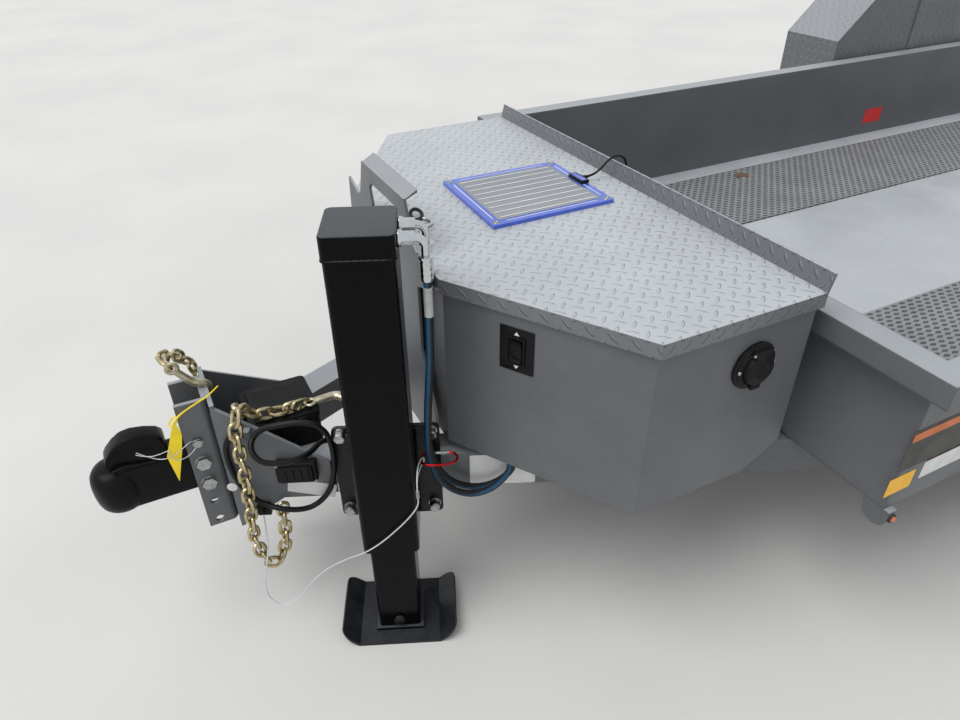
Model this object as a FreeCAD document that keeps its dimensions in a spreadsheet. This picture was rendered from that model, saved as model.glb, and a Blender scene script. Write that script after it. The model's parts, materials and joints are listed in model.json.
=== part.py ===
import FreeCAD
import Part

import math
import os
import re

from FreeCAD import Placement, Rotation, Vector

# Tandem tilt-bed utility trailer, standing on its jack.
# +X is forward, +Y is the left side, +Z is up, and Z 0 is the ground.
# Lengths are millimetres and angles are degrees.
# Positions along X are measured from the rear edge of the box lid: "lid_rear" is that
# edge's own place, chosen so that the origin is under the middle of the whole trailer.

DOC = FreeCAD.newDocument("UtilityTrailer")

# Driving dimensions: name, value
DRIVING = [
    # bed
    ("bed_gap", 40), ("bed_length", 4270), ("bed_half_width", 908), ("bed_top", 845),
    ("bed_lift", 6), ("flange_width", 62), ("lip_height", 52), ("wall_sheet", 5), ("sheet", 4),
    ("deck_top", 500), ("deck_sheet", 5), ("bed_cross_depth", 70), ("bed_cross_width", 51),
    ("nose_tube_back", 160), ("second_tube_back", 600), ("third_tube_back", 1180),
    ("tail_tube_depth", 50), ("tail_tube_inset", 30), ("stringer_half_gauge", 300),
    ("stringer_size", 40), ("tail_reach", 60), ("tail_drop", 45), ("tail_thickness", 8),
    ("strip_margin", 96), ("strip_width", 430), ("strip_raise", 6), ("strip_front", 330),
    ("strip_tail", 120), ("ear_half_width", 30), ("ear_thickness", 25), ("ear_drop", 20),
    ("ear_inset", 11), ("marker_radius", 11), ("marker_length", 10),
    # tilt pivot
    ("pivot_back", 2450), ("pivot_height", 430), ("pivot_radius", 20),
    ("pivot_clearance", 0.5), ("bracket_thickness", 20), ("boss_radius", 36),
    ("bracket_half_length", 190), ("bracket_depth", 60), ("pin_tail", 14),
    ("pivot_tube_size", 50), ("pivot_tube_drop", 42),
    # tongue and frame
    ("nose_reach", 1378), ("tongue_angle", 23.5), ("rail_face_y", 550),
    ("rail_bottom", 364), ("rail_height", 102), ("tongue_rail_width", 76),
    ("rail_front_gap", 60), ("rail_gap", 34), ("side_rail_width", 50), ("side_rail_lead", 30),
    ("side_rail_extra", 20), ("front_cross_back", 1040), ("cross_size", 76),
    ("support_size", 25), ("support_front", 480), ("support_rear", 150), ("support_inset", 14),
    ("pad_back", 800), ("pad_length", 60), ("pad_width", 25), ("pad_gap", 0.3),
    # tongue head
    ("gusset_thickness", 10), ("gusset_top_length", 238), ("gusset_bottom_length", 120),
    ("clip_near", 66), ("clip_length", 14), ("clip_depth", 18), ("clip_bottom", 562),
    ("clip_height", 18),
    ("channel_back", 1100), ("channel_front", 1168), ("channel_half", 50),
    ("channel_bottom", 276), ("channel_top", 640), ("channel_thickness", 10),
    ("channel_bend", 15), ("hole_first", 292), ("hole_pitch", 61), ("hole_radius", 10),
    ("hole_x", 1142), ("bolt_clearance", 0.5), ("bolt_head_radius", 17),
    ("bolt_head_length", 12), ("pin_head_radius", 12), ("pin_head_length", 7),
    # coupler
    ("coupler_side_gap", 0.3), ("coupler_radius", 55), ("coupler_bottom", 393),
    ("coupler_height", 110), ("ball_radius", 30), ("ball_clearance", 1), ("hood_rear", 1206),
    ("hood_rise", 71), ("hood_half_width", 36), ("hood_crown", 39),
    # wheels
    ("tyre_radius", 391), ("tyre_width", 234), ("rim_radius", 203), ("rim_lip", 11),
    ("rim_wall", 7), ("rim_half_width", 110), ("rim_lip_width", 7), ("bead_clearance", 0.3),
    ("disc_offset", 20), ("disc_thickness", 8), ("hub_radius", 60), ("cap_radius", 42),
    ("cap_reach", 62), ("drum_radius", 142), ("drum_wall", 8), ("drum_depth", 76),
    ("hand_hole_radius", 17), ("hand_hole_ring", 165), ("hand_holes", 8), ("fender_gap", 17),
    ("wheel_inset", 147.5), ("axle_ahead", 130), ("axle_spacing", 880),
    ("arm_length_x", 115), ("arm_drop", 60), ("arm_width", 68), ("arm_thickness", 16),
    ("arm_gap", 26), ("spindle_radius", 23.7), ("spindle_clearance", 0.3),
    ("spindle_length", 110), ("housing_radius", 36), ("housing_reach", 28),
    ("hanger_length", 110), ("hanger_bottom", 290),
    # fenders
    ("fender_overhang", 480), ("fender_top", 1120), ("fender_corner_z", 920),
    ("fender_slope_run", 222), ("fender_skirt_z", 560), ("fender_width", 290),
    ("skirt_depth", 60), ("rib_width", 75), ("rib_thickness", 6),
    ("lamp_height", 60), ("lamp_width", 150), ("lamp_depth", 30), ("lamp_z", 760),
    ("lamp_inset", 75), ("lamp_round", 8),
    # tool box and lid
    ("lid_top", 913), ("lid_half_width", 650), ("lid_side_front", 391),
    ("lid_front", 633), ("lid_front_half", 258), ("lid_lip", 32), ("lid_flange", 38),
    ("lid_flange_lean", 10), ("lid_lift", 4), ("box_inset", 9), ("box_bottom", 491),
    ("box_tail_run", 92), ("box_tail_rise", 56), ("hinge_forward", 11), ("hinge_radius", 1.85),
    ("hinge_inset", 20), ("panel_gap", 0.5), ("panel_thickness", 8.5), ("panel_block", 9),
    ("lead_radius", 3), ("switch_place", 0.62), ("switch_width", 76), ("switch_height", 100),
    ("switch_z", 800), ("switch_plate_thickness", 3), ("rocker_width", 28),
    ("rocker_height", 48), ("rocker_reach", 10), ("inlet_x", 150), ("inlet_z", 790),
    ("inlet_radius", 52), ("inlet_thickness", 14), ("inlet_boss_radius", 36),
    ("inlet_boss_reach", 30),
    # chain-hook plate
    ("hook_plate_x", 640), ("hook_plate_thickness", 6), ("hook_plate_top", 1035),
    ("hook_plate_half_top", 127), ("hook_plate_flange", 25),
    # jack
    ("jack_x", 790), ("jack_outer", 127), ("jack_wall", 6), ("jack_bottom", 300),
    ("jack_top", 1080), ("jack_cap", 45), ("jack_cap_proud", 2), ("jack_collar", 30),
    ("jack_corner", 12), ("jack_inner", 102),
    ("jack_clearance", 0.3), ("jack_leg_top", 700), ("jack_leg_corner", 8),
    ("jack_base_half", 58), ("jack_base", 8), ("foot_pin_z", 40), ("foot_pin_radius", 12),
    ("foot_pin_proud", 8), ("foot_floor_half", 100), ("foot_half_length", 141.5),
    ("foot_width", 188), ("foot_height", 42), ("foot_thickness", 8), ("foot_corner", 28),
    ("mount_half_length", 120), ("mount_bottom", 295), ("mount_top", 565),
    ("mount_thickness", 10), ("mount_corner", 15), ("mount_bolt_s", 100),
    ("mount_bolt_low", 325), ("mount_bolt_high", 550), ("mount_bolt_radius", 12),
    ("mount_bolt_head", 18), ("mount_stud_radius", 6), ("mount_stud_reach", 20),
    ("fitting_z", 1058), ("fitting_gauge", 28), ("fitting_hex_radius", 14.5),
    ("fitting_hex_length", 10), ("swivel_radius", 12.5), ("swivel_length", 21),
    ("elbow_radius", 7.5), ("elbow_reach", 114), ("ring_radius", 14), ("ring_thickness", 4),
    ("ring_z", 1023), ("ferrule_radius", 11), ("ferrule_bottom", 975), ("hose_radius", 8),
    # tilt cylinder
    ("barrel_eye_back", 1080), ("barrel_eye_z", 270), ("rod_eye_back", 1900),
    ("rod_eye_z", 385), ("barrel_radius", 36), ("barrel_length", 520), ("barrel_start", 40),
    ("gland_radius", 41), ("gland_length", 24), ("rod_radius", 19), ("rod_overlap", 200),
    ("rod_play", 0.5), ("eye_radius", 30), ("eye_width", 60), ("eye_side_gap", 1),
    ("barrel_pin_radius", 15.6), ("barrel_pin_clearance", 0.4), ("rod_pin_radius", 13),
    ("rod_pin_play", 6), ("ear_plate", 10), ("barrel_ear_radius", 33), ("rod_ear_radius", 28),
    # battery case, chains and cables
    ("case_front", 1027), ("case_rear", 872), ("case_left", 90), ("case_right", 60),
    ("case_height", 74), ("case_lid", 16), ("case_lid_proud", 2), ("case_round", 12),
    ("pull_switch_near", 55), ("pull_switch_far", 85), ("pull_switch_bottom", 323),
    ("pull_switch_top", 353), ("pull_switch_depth", 14), ("chain_wire", 8.5),
    ("chain_pitch", 34), ("chain_width", 30), ("chain_slack", 0.3), ("hook_outer", 24),
    ("hook_inner", 12), ("hook_thickness", 10), ("hook_shank", 74), ("hook_eye", 13),
    ("hook_eye_hole", 6), ("cable_radius", 5.5), ("plug_radius", 17), ("plug_length", 58),
    ("plug_collar", 20), ("plug_collar_length", 14), ("pull_cable_radius", 1.6),
    ("snap_wire", 2.75), ("snap_z", 530), ("crimp_radius", 4), ("crimp_length", 22),
]

SIZE = dict(DRIVING)

# Sizes that follow from the driving ones: name, value
SIZE["overall"] = SIZE["nose_reach"] + SIZE["bed_gap"] + SIZE["bed_length"] + SIZE["tail_reach"]
SIZE["lid_rear"] = SIZE["overall"] / 2 - SIZE["nose_reach"]
SIZE["tongue_slope"] = math.tan(math.radians(SIZE["tongue_angle"]))
SIZE["rail_top"] = SIZE["rail_bottom"] + SIZE["rail_height"]
SIZE["bed_bottom"] = SIZE["rail_top"] + SIZE["bed_lift"]
SIZE["deck_bottom"] = SIZE["deck_top"] - SIZE["deck_sheet"]
SIZE["bed_tail"] = SIZE["bed_gap"] + SIZE["bed_length"]
SIZE["wall_y"] = SIZE["bed_half_width"] - SIZE["flange_width"]
SIZE["wall_outer"] = SIZE["wall_y"] + SIZE["wall_sheet"]
SIZE["side_rail_inner"] = SIZE["wall_outer"] + SIZE["rail_gap"]
SIZE["side_rail_outer"] = SIZE["side_rail_inner"] + SIZE["side_rail_width"]
SIZE["fender_inner"] = SIZE["bed_half_width"] + SIZE["fender_gap"]
SIZE["fender_outer"] = SIZE["fender_inner"] + SIZE["fender_width"]
SIZE["wheel_y"] = SIZE["fender_inner"] + SIZE["wheel_inset"]
SIZE["axle_front_back"] = SIZE["pivot_back"] - SIZE["axle_ahead"]
SIZE["axle_rear_back"] = SIZE["axle_front_back"] + SIZE["axle_spacing"]
SIZE["fender_front"] = SIZE["axle_front_back"] - SIZE["fender_overhang"]
SIZE["fender_length"] = 2 * SIZE["fender_overhang"] + SIZE["axle_spacing"]
SIZE["side_rail_start"] = (SIZE["side_rail_inner"] - SIZE["rail_face_y"]) / SIZE["tongue_slope"]
SIZE["side_rail_start"] = SIZE["side_rail_start"] - SIZE["side_rail_lead"]
SIZE["side_rail_tail"] = SIZE["fender_front"] + SIZE["fender_length"] + SIZE["side_rail_extra"]
SIZE["case_top"] = SIZE["rail_top"] + SIZE["case_height"] + SIZE["case_lid"]
SIZE["box_top"] = SIZE["lid_top"] - SIZE["sheet"] - SIZE["lid_lift"]

SHEET = DOC.addObject("Spreadsheet::Sheet", "Sizes")
for row, (alias, value) in enumerate(SIZE.items(), start=1):
    SHEET.set(f"A{row}", alias)
    SHEET.set(f"B{row}", f"{value:.6f}")
    SHEET.setAlias(f"B{row}", alias)
DOC.recompute()

FUNCTIONS = {"sin", "cos", "tan", "sqrt"}
NODES = []
LEFT_AND_RIGHT = (("left", 1), ("right", -1))


def size(name):
    """The value that the sheet holds under this name."""
    return float(SHEET.get(name))


def bound(text):
    """An expression written with bare names, made to read them from the sheet."""
    def refer(match):
        word = match.group(0)
        return word if word in FUNCTIONS else "Sizes." + word
    return re.sub(r"[A-Za-z_]\w*", refer, str(text))


def node(obj, label):
    """Names a finished sub-part; its file has the same name."""
    obj.Label = label
    NODES.append(obj)
    return obj


def place(obj, x, y, z):
    """Binds an object's place to the sheet."""
    obj.setExpression(".Placement.Base.x", bound(x))
    obj.setExpression(".Placement.Base.y", bound(y))
    obj.setExpression(".Placement.Base.z", bound(z))
    return obj


def box(name, x0, x1, y0, y1, z0, z1):
    """A block between two X, two Y and two Z places, each an expression."""
    obj = DOC.addObject("Part::Box", name)
    obj.setExpression("Length", bound(f"({x1}) - ({x0})"))
    obj.setExpression("Width", bound(f"({y1}) - ({y0})"))
    obj.setExpression("Height", bound(f"({z1}) - ({z0})"))
    return place(obj, x0, y0, z0)


def rod(name, radius, x, z, y0, y1):
    """A cylinder along Y between two Y places."""
    obj = DOC.addObject("Part::Cylinder", name)
    obj.setExpression("Radius", bound(radius))
    obj.setExpression("Height", bound(f"({y1}) - ({y0})"))
    obj.Placement = Placement(Vector(), Rotation(Vector(1, 0, 0), -90))
    return place(obj, x, y0, z)


def fuse(name, *parts):
    """One solid from several."""
    obj = DOC.addObject("Part::MultiFuse", name)
    obj.Shapes = list(parts)
    obj.Refine = True
    return obj


def cut(name, base, *tools):
    """The base without the tools."""
    obj = DOC.addObject("Part::Cut", name)
    obj.Base = base
    obj.Tool = tools[0] if len(tools) == 1 else fuse(name + "_tools", *tools)
    obj.Refine = True
    return obj


def group(name, *parts):
    """Several solids that don't touch, in one node."""
    obj = DOC.addObject("Part::Compound", name)
    obj.Links = list(parts)
    return obj


def rounded(name, base, radius, chosen):
    """The base with a fillet on each edge that the test accepts."""
    DOC.recompute()
    obj = DOC.addObject("Part::Fillet", name)
    obj.Base = base
    obj.Edges = [(number, radius, radius)
                 for number, edge in enumerate(base.Shape.Edges, start=1) if chosen(edge)]
    return obj


def formed(name, shape):
    """A shape made with Part's own functions."""
    obj = DOC.addObject("Part::Feature", name)
    obj.Shape = shape
    return obj


def prism(points, direction):
    """A flat outline pushed along a vector."""
    wire = Part.makePolygon(points + points[:1])
    return Part.Face(wire).extrude(direction)


def side_prism(outline, y0, y1):
    """An outline of (x, z) places pushed along Y."""
    return prism([Vector(x, y0, z) for x, z in outline], Vector(0, y1 - y0, 0))


def plan_prism(outline, z0, z1):
    """An outline of (x, y) places pushed along Z."""
    return prism([Vector(x, y, z0) for x, y in outline], Vector(0, 0, z1 - z0))


def hexagon(centre, axis, across, radius, length):
    """A hexagonal bar along an axis, with a corner on the second direction."""
    other = axis.cross(across)
    points = []
    for index in range(6):
        turn = math.radians(60 * index)
        points.append(centre + across * (radius * math.cos(turn))
                      + other * (radius * math.sin(turn)))
    return prism(points, axis * length)


def turned(outline, centre):
    """An outline of (radius, y) places turned round an axis along Y."""
    points = [Vector(centre.x + radius, y, centre.z) for radius, y in outline]
    face = Part.Face(Part.makePolygon(points + points[:1]))
    return face.revolve(centre, Vector(0, 1, 0), 360)


def across_rod(centre, radius, y0, y1):
    """A plain cylinder along Y round a centre."""
    return Part.makeCylinder(radius, y1 - y0, Vector(centre.x, y0, centre.z), Vector(0, 1, 0))


def mirrored(shape):
    """The same shape on the other side of the trailer."""
    return shape.mirror(Vector(), Vector(0, 1, 0))


def one_solid(*shapes):
    """The shapes joined, without the seams between them."""
    return shapes[0].fuse(list(shapes[1:])).removeSplitter()


def from_lid(distance):
    """The place that lies this far in front of the lid's rear edge."""
    return size("lid_rear") + distance


def spot(x, y, z):
    """A point whose first value is measured from the lid's rear edge."""
    return Vector(from_lid(x), y, z)


def upright_edges(shape, length):
    """The straight upright edges of a shape that are at least this long."""
    edges = []
    for edge in shape.Edges:
        ends = [vertex.Point for vertex in edge.Vertexes]
        if len(ends) == 2 and abs(ends[0].z - ends[1].z) >= length:
            if math.hypot(ends[0].x - ends[1].x, ends[0].y - ends[1].y) < 0.01:
                edges.append(edge)
    return edges


def upright_rounded(shape, radius):
    """A block with its upright corners rounded."""
    return shape.makeFillet(radius, upright_edges(shape, 1))


def rail_directions():
    """The left tongue rail's direction rearward and its direction outward."""
    turn = math.radians(size("tongue_angle"))
    back = Vector(-math.cos(turn), math.sin(turn), 0)
    out = Vector(math.sin(turn), math.cos(turn), 0)
    return back, out


def rail_outer_y(x):
    """Where the left tongue rail's outer face is, this far in front of the lid's rear edge."""
    return size("rail_face_y") - size("tongue_slope") * x


def rail_block(start_x, near, far, inner, outer, z0, z1):
    """A block in line with the left tongue rail, measured from its outer face."""
    back, out = rail_directions()
    origin = spot(start_x, rail_outer_y(start_x), z0)
    corners = [origin + back * near + out * inner, origin + back * far + out * inner,
               origin + back * far + out * outer, origin + back * near + out * outer]
    return prism(corners, Vector(0, 0, z1 - z0))


def side_block(x0, x1, y0, y1, z0, z1):
    """A plain block between two places on each axis, X from the lid's rear edge."""
    return Part.makeBox(x1 - x0, y1 - y0, z1 - z0, spot(x0, y0, z0))


def tongue_rails():
    """Two tubes that spread from the head to the side rails."""
    front = size("channel_back") - size("rail_front_gap")
    reach = size("side_rail_inner")
    overall = size("overall")
    keep = Part.makeBox(2 * overall, 2 * reach, overall, Vector(-overall, -reach, 0))
    tube = rail_block(front, 0, overall / 2, -size("tongue_rail_width"), 0,
                      size("rail_bottom"), size("rail_top")).common(keep)
    node(formed("TongueRailLeft", tube), "tongue_rail_left")
    node(formed("TongueRailRight", mirrored(tube)), "tongue_rail_right")


def side_rails():
    """A tube outside each wall of the bed, which carries the wheels and the fender."""
    for side, y0, y1 in (("left", "side_rail_inner", "side_rail_outer"),
                         ("right", "-side_rail_outer", "-side_rail_inner")):
        rail = box("SideRail" + side, "lid_rear - side_rail_tail", "lid_rear - side_rail_start",
                   y0, y1, "rail_bottom", "rail_top")
        node(rail, "side_rail_" + side)


def ear_places():
    """The Y places of a cylinder's two ears."""
    inner = size("eye_width") / 2 + size("eye_side_gap")
    outer = inner + size("ear_plate")
    return ((-outer, -inner), (inner, outer))


def crossmembers():
    """The front cross tube with the barrel's ears, and the tube under the pivot."""
    rear = "lid_rear - front_cross_back"
    tube = box("FrontCross", rear, rear + " + cross_size", "-side_rail_inner",
               "side_rail_inner", "rail_bottom", "rail_bottom + cross_size")
    eye = spot(-size("barrel_eye_back"), 0, size("barrel_eye_z"))
    radius = size("barrel_ear_radius")
    face = from_lid(-size("front_cross_back"))
    outline = [(face, size("rail_bottom") + size("cross_size") - size("sheet")),
               (eye.x - radius, eye.z), (eye.x + radius, eye.z),
               (face + size("cross_size") / 2, size("rail_bottom"))]
    ears = []
    for y0, y1 in ear_places():
        ears.append(side_prism(outline, y0, y1).fuse(across_rod(eye, radius, y0, y1)))
    outer = ear_places()[1][1]
    pin = across_rod(eye, size("barrel_pin_radius"), -outer, outer)
    ear_pair = formed("BarrelEars", one_solid(pin, *ears))
    pivot_x = "lid_rear - pivot_back"
    pivot = box("PivotCross", pivot_x + " - pivot_tube_size / 2",
                pivot_x + " + pivot_tube_size / 2", "-side_rail_inner", "side_rail_inner",
                "pivot_height - pivot_tube_drop - pivot_tube_size",
                "pivot_height - pivot_tube_drop")
    node(group("FrameCross", fuse("FrontCrossWithEars", tube, ear_pair), pivot),
         "frame_crossmembers")


def box_supports():
    """Two square tubes that lift the tool box off the tongue rails."""
    bars = []
    for place_name in ("support_front", "support_rear"):
        x = "lid_rear + " + place_name
        half = f"(rail_face_y - tongue_slope * {place_name} - support_inset)"
        bars.append(box("Box_" + place_name, x + " - support_size / 2",
                        x + " + support_size / 2", "-" + half, half, "rail_top", "box_bottom"))
    node(group("BoxSupports", *bars), "box_supports")


def tongue_head():
    """A plate across the front of the tongue rails and a gusset on each one's outer face."""
    back = size("channel_back")
    rearward, out = rail_directions()
    origin = spot(back, rail_outer_y(back), 0)
    outline = [(0, size("channel_bottom")), (0, size("channel_top")),
               (size("gusset_top_length"), size("rail_top")),
               (size("gusset_top_length"), size("rail_bottom")),
               (size("gusset_bottom_length"), size("rail_bottom"))]
    points = [origin + rearward * s + Vector(0, 0, z) for s, z in outline]
    thick = size("gusset_thickness")
    room = side_block(0, back, -back, back, 0, back)
    gusset = prism(points, out * thick).common(room)
    half = rail_outer_y(back) + thick / math.cos(math.radians(size("tongue_angle")))
    front = side_block(back - thick, back, -half, half, size("channel_bottom"),
                       size("channel_top"))
    clip = rail_block(back, size("clip_near"), size("clip_near") + size("clip_length"), thick,
                      thick + size("clip_depth"), size("clip_bottom"),
                      size("clip_bottom") + size("clip_height"))
    node(formed("TongueHead", one_solid(front, gusset, mirrored(gusset), clip)),
         "tongue_head")


def coupler_channel():
    """A channel open to the front with a row of holes through both its sides."""
    outer = box("ChannelOuter", "lid_rear + channel_back", "lid_rear + channel_front",
                "-channel_half", "channel_half", "channel_bottom", "channel_top")
    rear_x = from_lid(size("channel_back"))

    def rear_corner(edge):
        ends = [vertex.Point for vertex in edge.Vertexes]
        return all(abs(end.x - rear_x) < 0.01 for end in ends) and edge.Length > 300

    bent = rounded("ChannelBent", outer, size("channel_bend"), rear_corner)
    inner = box("ChannelInner", "lid_rear + channel_back + channel_thickness",
                "lid_rear + channel_front + 1", "-channel_half + channel_thickness",
                "channel_half - channel_thickness", "channel_bottom - 1", "channel_top + 1")
    holes = []
    for index in range(5):
        holes.append(rod(f"ChannelHole{index}", "hole_radius", "lid_rear + hole_x",
                         f"hole_first + {index} * hole_pitch", "-channel_half - 1",
                         "channel_half + 1"))
    node(cut("CouplerChannel", bent, inner, *holes), "coupler_channel")


def coupler():
    """A cast ball coupler with its latch hood, bolted in the channel."""
    half = size("channel_half") - size("channel_thickness") - size("coupler_side_gap")
    rear = size("channel_back") + size("channel_thickness") + size("coupler_side_gap")
    low = size("coupler_bottom")
    top = low + size("coupler_height")
    nose = size("nose_reach")
    ball_x = nose - size("coupler_radius")
    shank = side_block(rear, ball_x, -half, half, low, top)
    head = Part.makeCylinder(size("coupler_radius"), top - low, spot(ball_x, 0, low))
    # x from the nose, z from the underside: the nose leans back above and below its middle
    profile = [(rear, low), (nose - 40, low), (nose - 20, low + 22), (nose, low + 56),
               (nose - 12, top), (rear, top)]
    lean = side_prism([(from_lid(x), z) for x, z in profile], -nose, nose)
    body = one_solid(shank, head).common(lean)
    hood_rear = size("hood_rear")
    rise = size("hood_rise")
    hood_half = size("hood_half_width")
    # x from the hood's rear, height above the body
    arch = [(0, -10), (0, rise - 23), (15, rise - 12), (47, rise - 2), (77, rise),
            (115, rise - 32), (128, -10)]
    hood = side_prism([(from_lid(hood_rear + x), top + z) for x, z in arch],
                      -hood_half, hood_half)
    crown = size("hood_crown")
    crown_z = top + rise - crown
    dome = Part.makeCylinder(crown, nose, spot(0, 0, crown_z), Vector(1, 0, 0))
    below = side_block(0, nose, -hood_half, hood_half, low, crown_z)
    hood = hood.common(dome.fuse(below))
    reach = size("ball_radius") + size("ball_clearance")
    socket = Part.makeSphere(reach, spot(ball_x, 0, low + size("ball_radius")))
    mouth = Part.makeCylinder(reach, size("ball_radius") + 1, spot(ball_x, 0, low - 1))
    body = one_solid(body, hood).cut([socket, mouth])
    for index in (2, 3):
        z = size("hole_first") + index * size("hole_pitch")
        body = body.cut(across_rod(spot(size("hole_x"), 0, z), size("hole_radius"),
                                   -nose, nose))
    node(formed("Coupler", body.removeSplitter()), "ball_coupler")


def coupler_bolts():
    """Two hexagon bolts that hold the coupler, and the pin in the top hole."""
    parts = []
    half = size("channel_half")
    # hole number, corner radius and length of the head
    table = ((2, "bolt_head_radius", "bolt_head_length"),
             (3, "bolt_head_radius", "bolt_head_length"),
             (4, "pin_head_radius", "pin_head_length"))
    for index, radius, length in table:
        z = size("hole_first") + index * size("hole_pitch")
        centre = spot(size("hole_x"), 0, z)
        shank = across_rod(centre, size("hole_radius") - size("bolt_clearance"),
                           -half - size("bolt_head_length"), half + size("bolt_head_length"))
        cap = hexagon(centre + Vector(0, half, 0), Vector(0, 1, 0), Vector(1, 0, 0),
                      size(radius), size(length))
        parts.append(shank.fuse([cap, mirrored(cap)]))
    node(formed("CouplerBolts", Part.makeCompound(parts)), "coupler_bolts")


def jack_place(s, o, z):
    """A point s behind the jack's axis along the rail, o outward from it, at height z."""
    back, out = rail_directions()
    away = (size("jack_outer") / 2 + size("mount_thickness")) / out.y
    centre = spot(size("jack_x"), rail_outer_y(size("jack_x")) + away, 0)
    return centre + back * s + out * o + Vector(0, 0, z)


def jack_block(near, far, inner, outer, z0, z1):
    """A block in line with the jack, measured from the jack's own axis."""
    corners = [jack_place(near, inner, z0), jack_place(far, inner, z0),
               jack_place(far, outer, z0), jack_place(near, outer, z0)]
    return prism(corners, Vector(0, 0, z1 - z0))


def square_tube(half, corner, z0, z1):
    """A block round the jack's axis with rounded corners."""
    return upright_rounded(jack_block(-half, half, -half, half, z0, z1), corner)


def jack_tube():
    """The fixed outer tube with its cap and collar."""
    half = size("jack_outer") / 2
    wall = size("jack_wall")
    corner = size("jack_corner")
    bottom = size("jack_bottom")
    top = size("jack_top")
    tube = square_tube(half, corner, bottom, top)
    cap = square_tube(half + size("jack_cap_proud"), corner, top - size("jack_cap"), top)
    cap = cap.makeFillet(3, [edge for edge in cap.Edges if edge.BoundBox.ZMin > top - 0.1])
    bore = jack_block(wall - half, half - wall, wall - half, half - wall,
                      bottom + size("jack_collar"), top - size("jack_cap"))
    slide = size("jack_inner") / 2 + size("jack_clearance")
    mouth = square_tube(slide, size("jack_leg_corner"), bottom - 1,
                        bottom + size("jack_collar") + 1)
    shape = one_solid(tube, cap).cut([bore, mouth])
    node(formed("JackTube", shape), "jack_tube")


def jack_leg():
    """The sliding leg with its base plate, and the foot with its two bent-up ends."""
    inner = size("jack_inner") / 2
    floor = size("foot_thickness")
    base_top = floor + size("jack_base")
    leg = square_tube(inner, size("jack_leg_corner"), floor, size("jack_leg_top"))
    base_half = size("jack_base_half")
    base = jack_block(-base_half, base_half, -base_half, base_half, floor, base_top)
    out = rail_directions()[1]
    boss = Part.makeCylinder(size("foot_pin_radius"), inner + size("foot_pin_proud"),
                             jack_place(0, 0, size("foot_pin_z")), out)
    node(formed("JackLeg", one_solid(leg, base, boss)), "jack_leg")
    flat = size("foot_floor_half")
    length = size("foot_half_length")
    height = size("foot_height")
    rise = height - floor * 0.75
    # s, z of the half that points rearward
    half_outline = [(flat, 0), (length, rise), (length - floor / 2, height), (flat - 2.5, floor)]
    outline = half_outline + [(-s, z) for s, z in reversed(half_outline)]
    width = size("foot_width") / 2
    points = [jack_place(s, -width, z) for s, z in outline]
    foot = prism(points, out * (2 * width))
    plan = jack_block(-length, length, -width, width, -1, height + 1)
    foot = foot.common(upright_rounded(plan, size("foot_corner")))
    node(formed("JackFoot", foot), "jack_foot")


def jack_mount():
    """The plate welded to the rail that the jack is bolted to, with its four bolts."""
    half = size("jack_outer") / 2
    length = size("mount_half_length")
    thick = size("mount_thickness")
    back, out = rail_directions()
    plate = jack_block(-length, length, -half - thick, -half, size("mount_bottom"),
                       size("mount_top"))
    short_edges = [edge for edge in plate.Edges if abs(edge.Length - thick) < 0.01]
    plate = plate.makeFillet(size("mount_corner"), short_edges)
    bolts = []
    for s in (-size("mount_bolt_s"), size("mount_bolt_s")):
        for z in (size("mount_bolt_low"), size("mount_bolt_high")):
            start = jack_place(s, -half, z)
            bolts.append(hexagon(start, out, back, size("mount_bolt_radius"),
                                 size("mount_bolt_head")))
            bolts.append(Part.makeCylinder(size("mount_stud_radius"),
                                           size("mount_stud_reach"), start, out))
    node(formed("JackMount", one_solid(plate, *bolts)), "jack_mount")


def jack_fittings():
    """Two swivel elbows on the rear face of the jack's cap, each with its ferrule."""
    back, out = rail_directions()
    down = Vector(0, 0, -1)
    face = size("jack_outer") / 2 + size("jack_cap_proud")
    z = size("fitting_z")
    parts = []
    for o in (-size("fitting_gauge"), size("fitting_gauge")):
        swivel_s = face + size("fitting_hex_length")
        elbow_s = swivel_s + size("swivel_length")
        reach = size("elbow_reach")
        nut = hexagon(jack_place(face, o, z), back, out, size("fitting_hex_radius"),
                      size("fitting_hex_length"))
        swivel = hexagon(jack_place(swivel_s, o, z), back, out, size("swivel_radius"),
                         size("swivel_length"))
        bend = reach - elbow_s
        pipe = size("elbow_radius")
        disc = Part.Face(Part.Wire(Part.makeCircle(pipe, jack_place(elbow_s, o, z), back)))
        elbow = disc.revolve(jack_place(elbow_s, o, z - bend), out, 90)
        if elbow.BoundBox.ZMax > z + pipe + 1:
            elbow = disc.revolve(jack_place(elbow_s, o, z - bend), out * -1, 90)
        stem = Part.makeCylinder(pipe, z - bend - size("ring_z"),
                                 jack_place(reach, o, z - bend), down)
        ring = Part.makeCylinder(size("ring_radius"), size("ring_thickness"),
                                 jack_place(reach, o, size("ring_z")), down)
        ferrule = Part.makeCylinder(size("ferrule_radius"),
                                    size("ring_z") - size("ferrule_bottom"),
                                    jack_place(reach, o, size("ring_z")), down)
        parts.append(one_solid(nut, swivel, elbow, stem, ring, ferrule))
    node(formed("JackFittings", Part.makeCompound(parts)), "jack_fittings")


def corner_arc(before, corner, after):
    """The arc that rounds a corner as widely as its two runs allow, and its radius."""
    into = corner - before
    out = after - corner
    trim = 0.45 * min(into.Length, out.Length)
    turn = into.getAngle(out)
    radius = trim / math.tan(turn / 2)
    into.normalize()
    out.normalize()
    start = corner - into * trim
    end = corner + out * trim
    inward = (out - into).normalize()
    middle = corner + inward * (radius / math.cos(turn / 2) - radius)
    return start, middle, end, radius


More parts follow.
